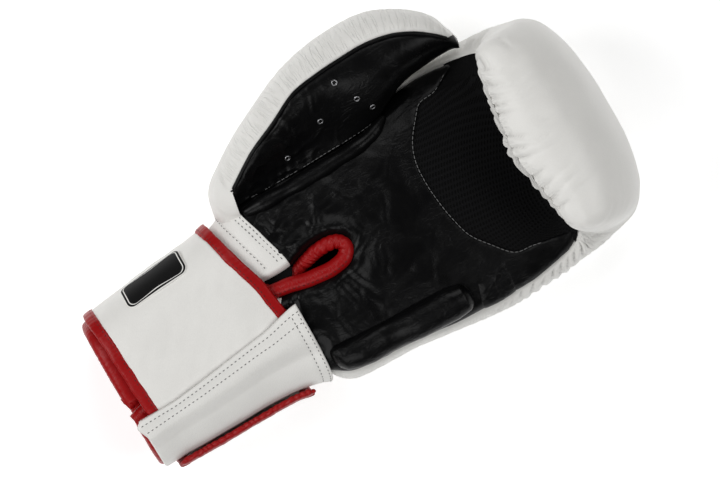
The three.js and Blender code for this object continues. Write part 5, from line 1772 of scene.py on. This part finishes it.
class GloveColours(bpy.types.PropertyGroup):
    """Colours of the glove's materials."""

    white: bpy.props.FloatVectorProperty(
        name="White leather", description="Colour of the white leather", default=(0.78, 0.77, 0.74, 1),
        size=4, subtype="COLOR", min=0, max=1)
    black: bpy.props.FloatVectorProperty(
        name="Black leather", description="Colour of the palm and thumb leather",
        default=(0.0025, 0.0025, 0.0027, 1), size=4, subtype="COLOR", min=0, max=1)
    red: bpy.props.FloatVectorProperty(
        name="Red leather", description="Colour of the bindings", default=(0.31, 0.004, 0.005, 1),
        size=4, subtype="COLOR", min=0, max=1)
    mesh: bpy.props.FloatVectorProperty(
        name="Mesh", description="Colour of the mesh and the lining", default=(0.0025, 0.0025, 0.0028, 1),
        size=4, subtype="COLOR", min=0, max=1)
    thread: bpy.props.FloatVectorProperty(
        name="Thread", description="Colour of the thread on the black leather", default=(0.16, 0.16, 0.16, 1),
        size=4, subtype="COLOR", min=0, max=1)
    metal: bpy.props.FloatVectorProperty(
        name="Metal", description="Colour of the air holes' rings", default=(0.35, 0.35, 0.36, 1),
        size=4, subtype="COLOR", min=0, max=1)


def built(pieces, label):
    """What an operator gives back, once its pieces are there."""
    if not pieces:
        raise RuntimeError(label + " made no piece")
    return {"FINISHED"}


class GLOVE_OT_stage(bpy.types.Operator):
    """Set up the floor, the lights and the camera"""

    bl_idname = "glove.stage"
    bl_label = "Stage"
    bl_options = {"REGISTER", "UNDO"}

    def execute(self, context):
        build_stage()
        return {"FINISHED"}


class GLOVE_OT_fist(bpy.types.Operator):
    """Build the white leather of the fist"""

    bl_idname = "glove.fist"
    bl_label = "Fist"
    bl_options = {"REGISTER", "UNDO"}

    def execute(self, context):
        return built(build_fist(context.scene.glove_sizes), self.bl_label)


class GLOVE_OT_palm(bpy.types.Operator):
    """Build the palm leather and the mesh"""

    bl_idname = "glove.palm"
    bl_label = "Palm"
    bl_options = {"REGISTER", "UNDO"}

    def execute(self, context):
        return built(build_palm(), self.bl_label)


class GLOVE_OT_thumb(bpy.types.Operator):
    """Build the thumb and its air holes"""

    bl_idname = "glove.thumb"
    bl_label = "Thumb"
    bl_options = {"REGISTER", "UNDO"}

    def execute(self, context):
        return built(build_thumb(context.scene.glove_sizes), self.bl_label)


class GLOVE_OT_heel_pad(bpy.types.Operator):
    """Build the pad at the heel of the palm"""

    bl_idname = "glove.heel_pad"
    bl_label = "Heel pad"
    bl_options = {"REGISTER", "UNDO"}

    def execute(self, context):
        return built(build_heel_pad(), self.bl_label)


class GLOVE_OT_cuff(bpy.types.Operator):
    """Build the cuff and its binding"""

    bl_idname = "glove.cuff"
    bl_label = "Cuff"
    bl_options = {"REGISTER", "UNDO"}

    def execute(self, context):
        return built(build_cuff(), self.bl_label)


class GLOVE_OT_slit_binding(bpy.types.Operator):
    """Build the binding of the palm slit"""

    bl_idname = "glove.slit_binding"
    bl_label = "Slit binding"
    bl_options = {"REGISTER", "UNDO"}

    def execute(self, context):
        return built(build_slit_binding(), self.bl_label)


class GLOVE_OT_strap(bpy.types.Operator):
    """Build the strap, its bindings and its label"""

    bl_idname = "glove.strap"
    bl_label = "Strap"
    bl_options = {"REGISTER", "UNDO"}

    def execute(self, context):
        return built(build_strap(), self.bl_label)


class GLOVE_OT_patch(bpy.types.Operator):
    """Build the patch that holds the strap"""

    bl_idname = "glove.patch"
    bl_label = "Strap patch"
    bl_options = {"REGISTER", "UNDO"}

    def execute(self, context):
        return built(build_patch(), self.bl_label)


class GLOVE_OT_stitches(bpy.types.Operator):
    """Lay the rows of stitches"""

    bl_idname = "glove.stitches"
    bl_label = "Stitches"
    bl_options = {"REGISTER", "UNDO"}

    def execute(self, context):
        return built(build_stitches(context.scene.glove_sizes), self.bl_label)


class GLOVE_PT_sidebar(bpy.types.Panel):
    """Builds the glove piece by piece"""

    bl_label = "Glove"
    bl_idname = "GLOVE_PT_sidebar"
    bl_space_type = "VIEW_3D"
    bl_region_type = "UI"
    bl_category = "Glove"

    def draw(self, context):
        for group in (context.scene.glove_sizes, context.scene.glove_colours):
            for name in group.__annotations__:
                self.layout.prop(group, name)
        for operator in OPERATORS:
            self.layout.operator(operator.bl_idname)


OPERATORS = (
    GLOVE_OT_stage, GLOVE_OT_fist, GLOVE_OT_palm, GLOVE_OT_thumb, GLOVE_OT_heel_pad, GLOVE_OT_cuff,
    GLOVE_OT_slit_binding, GLOVE_OT_strap, GLOVE_OT_patch, GLOVE_OT_stitches)
CLASSES = (GloveSizes, GloveColours, *OPERATORS, GLOVE_PT_sidebar)


def register():
    """Adds the glove's classes and settings."""
    for made in CLASSES:
        bpy.utils.register_class(made)
    bpy.types.Scene.glove_sizes = bpy.props.PointerProperty(type=GloveSizes)
    bpy.types.Scene.glove_colours = bpy.props.PointerProperty(type=GloveColours)


def unregister():
    """Takes them out again."""
    del bpy.types.Scene.glove_colours
    del bpy.types.Scene.glove_sizes
    for made in reversed(CLASSES):
        bpy.utils.unregister_class(made)


def main():
    """Builds the stage and the glove."""
    register()
    bpy.ops.glove.stage()
    bpy.ops.glove.fist()
    bpy.ops.glove.palm()
    bpy.ops.glove.thumb()
    bpy.ops.glove.heel_pad()
    bpy.ops.glove.cuff()
    bpy.ops.glove.slit_binding()
    bpy.ops.glove.strap()
    bpy.ops.glove.patch()
    bpy.ops.glove.stitches()


if __name__ == "__main__":
    main()
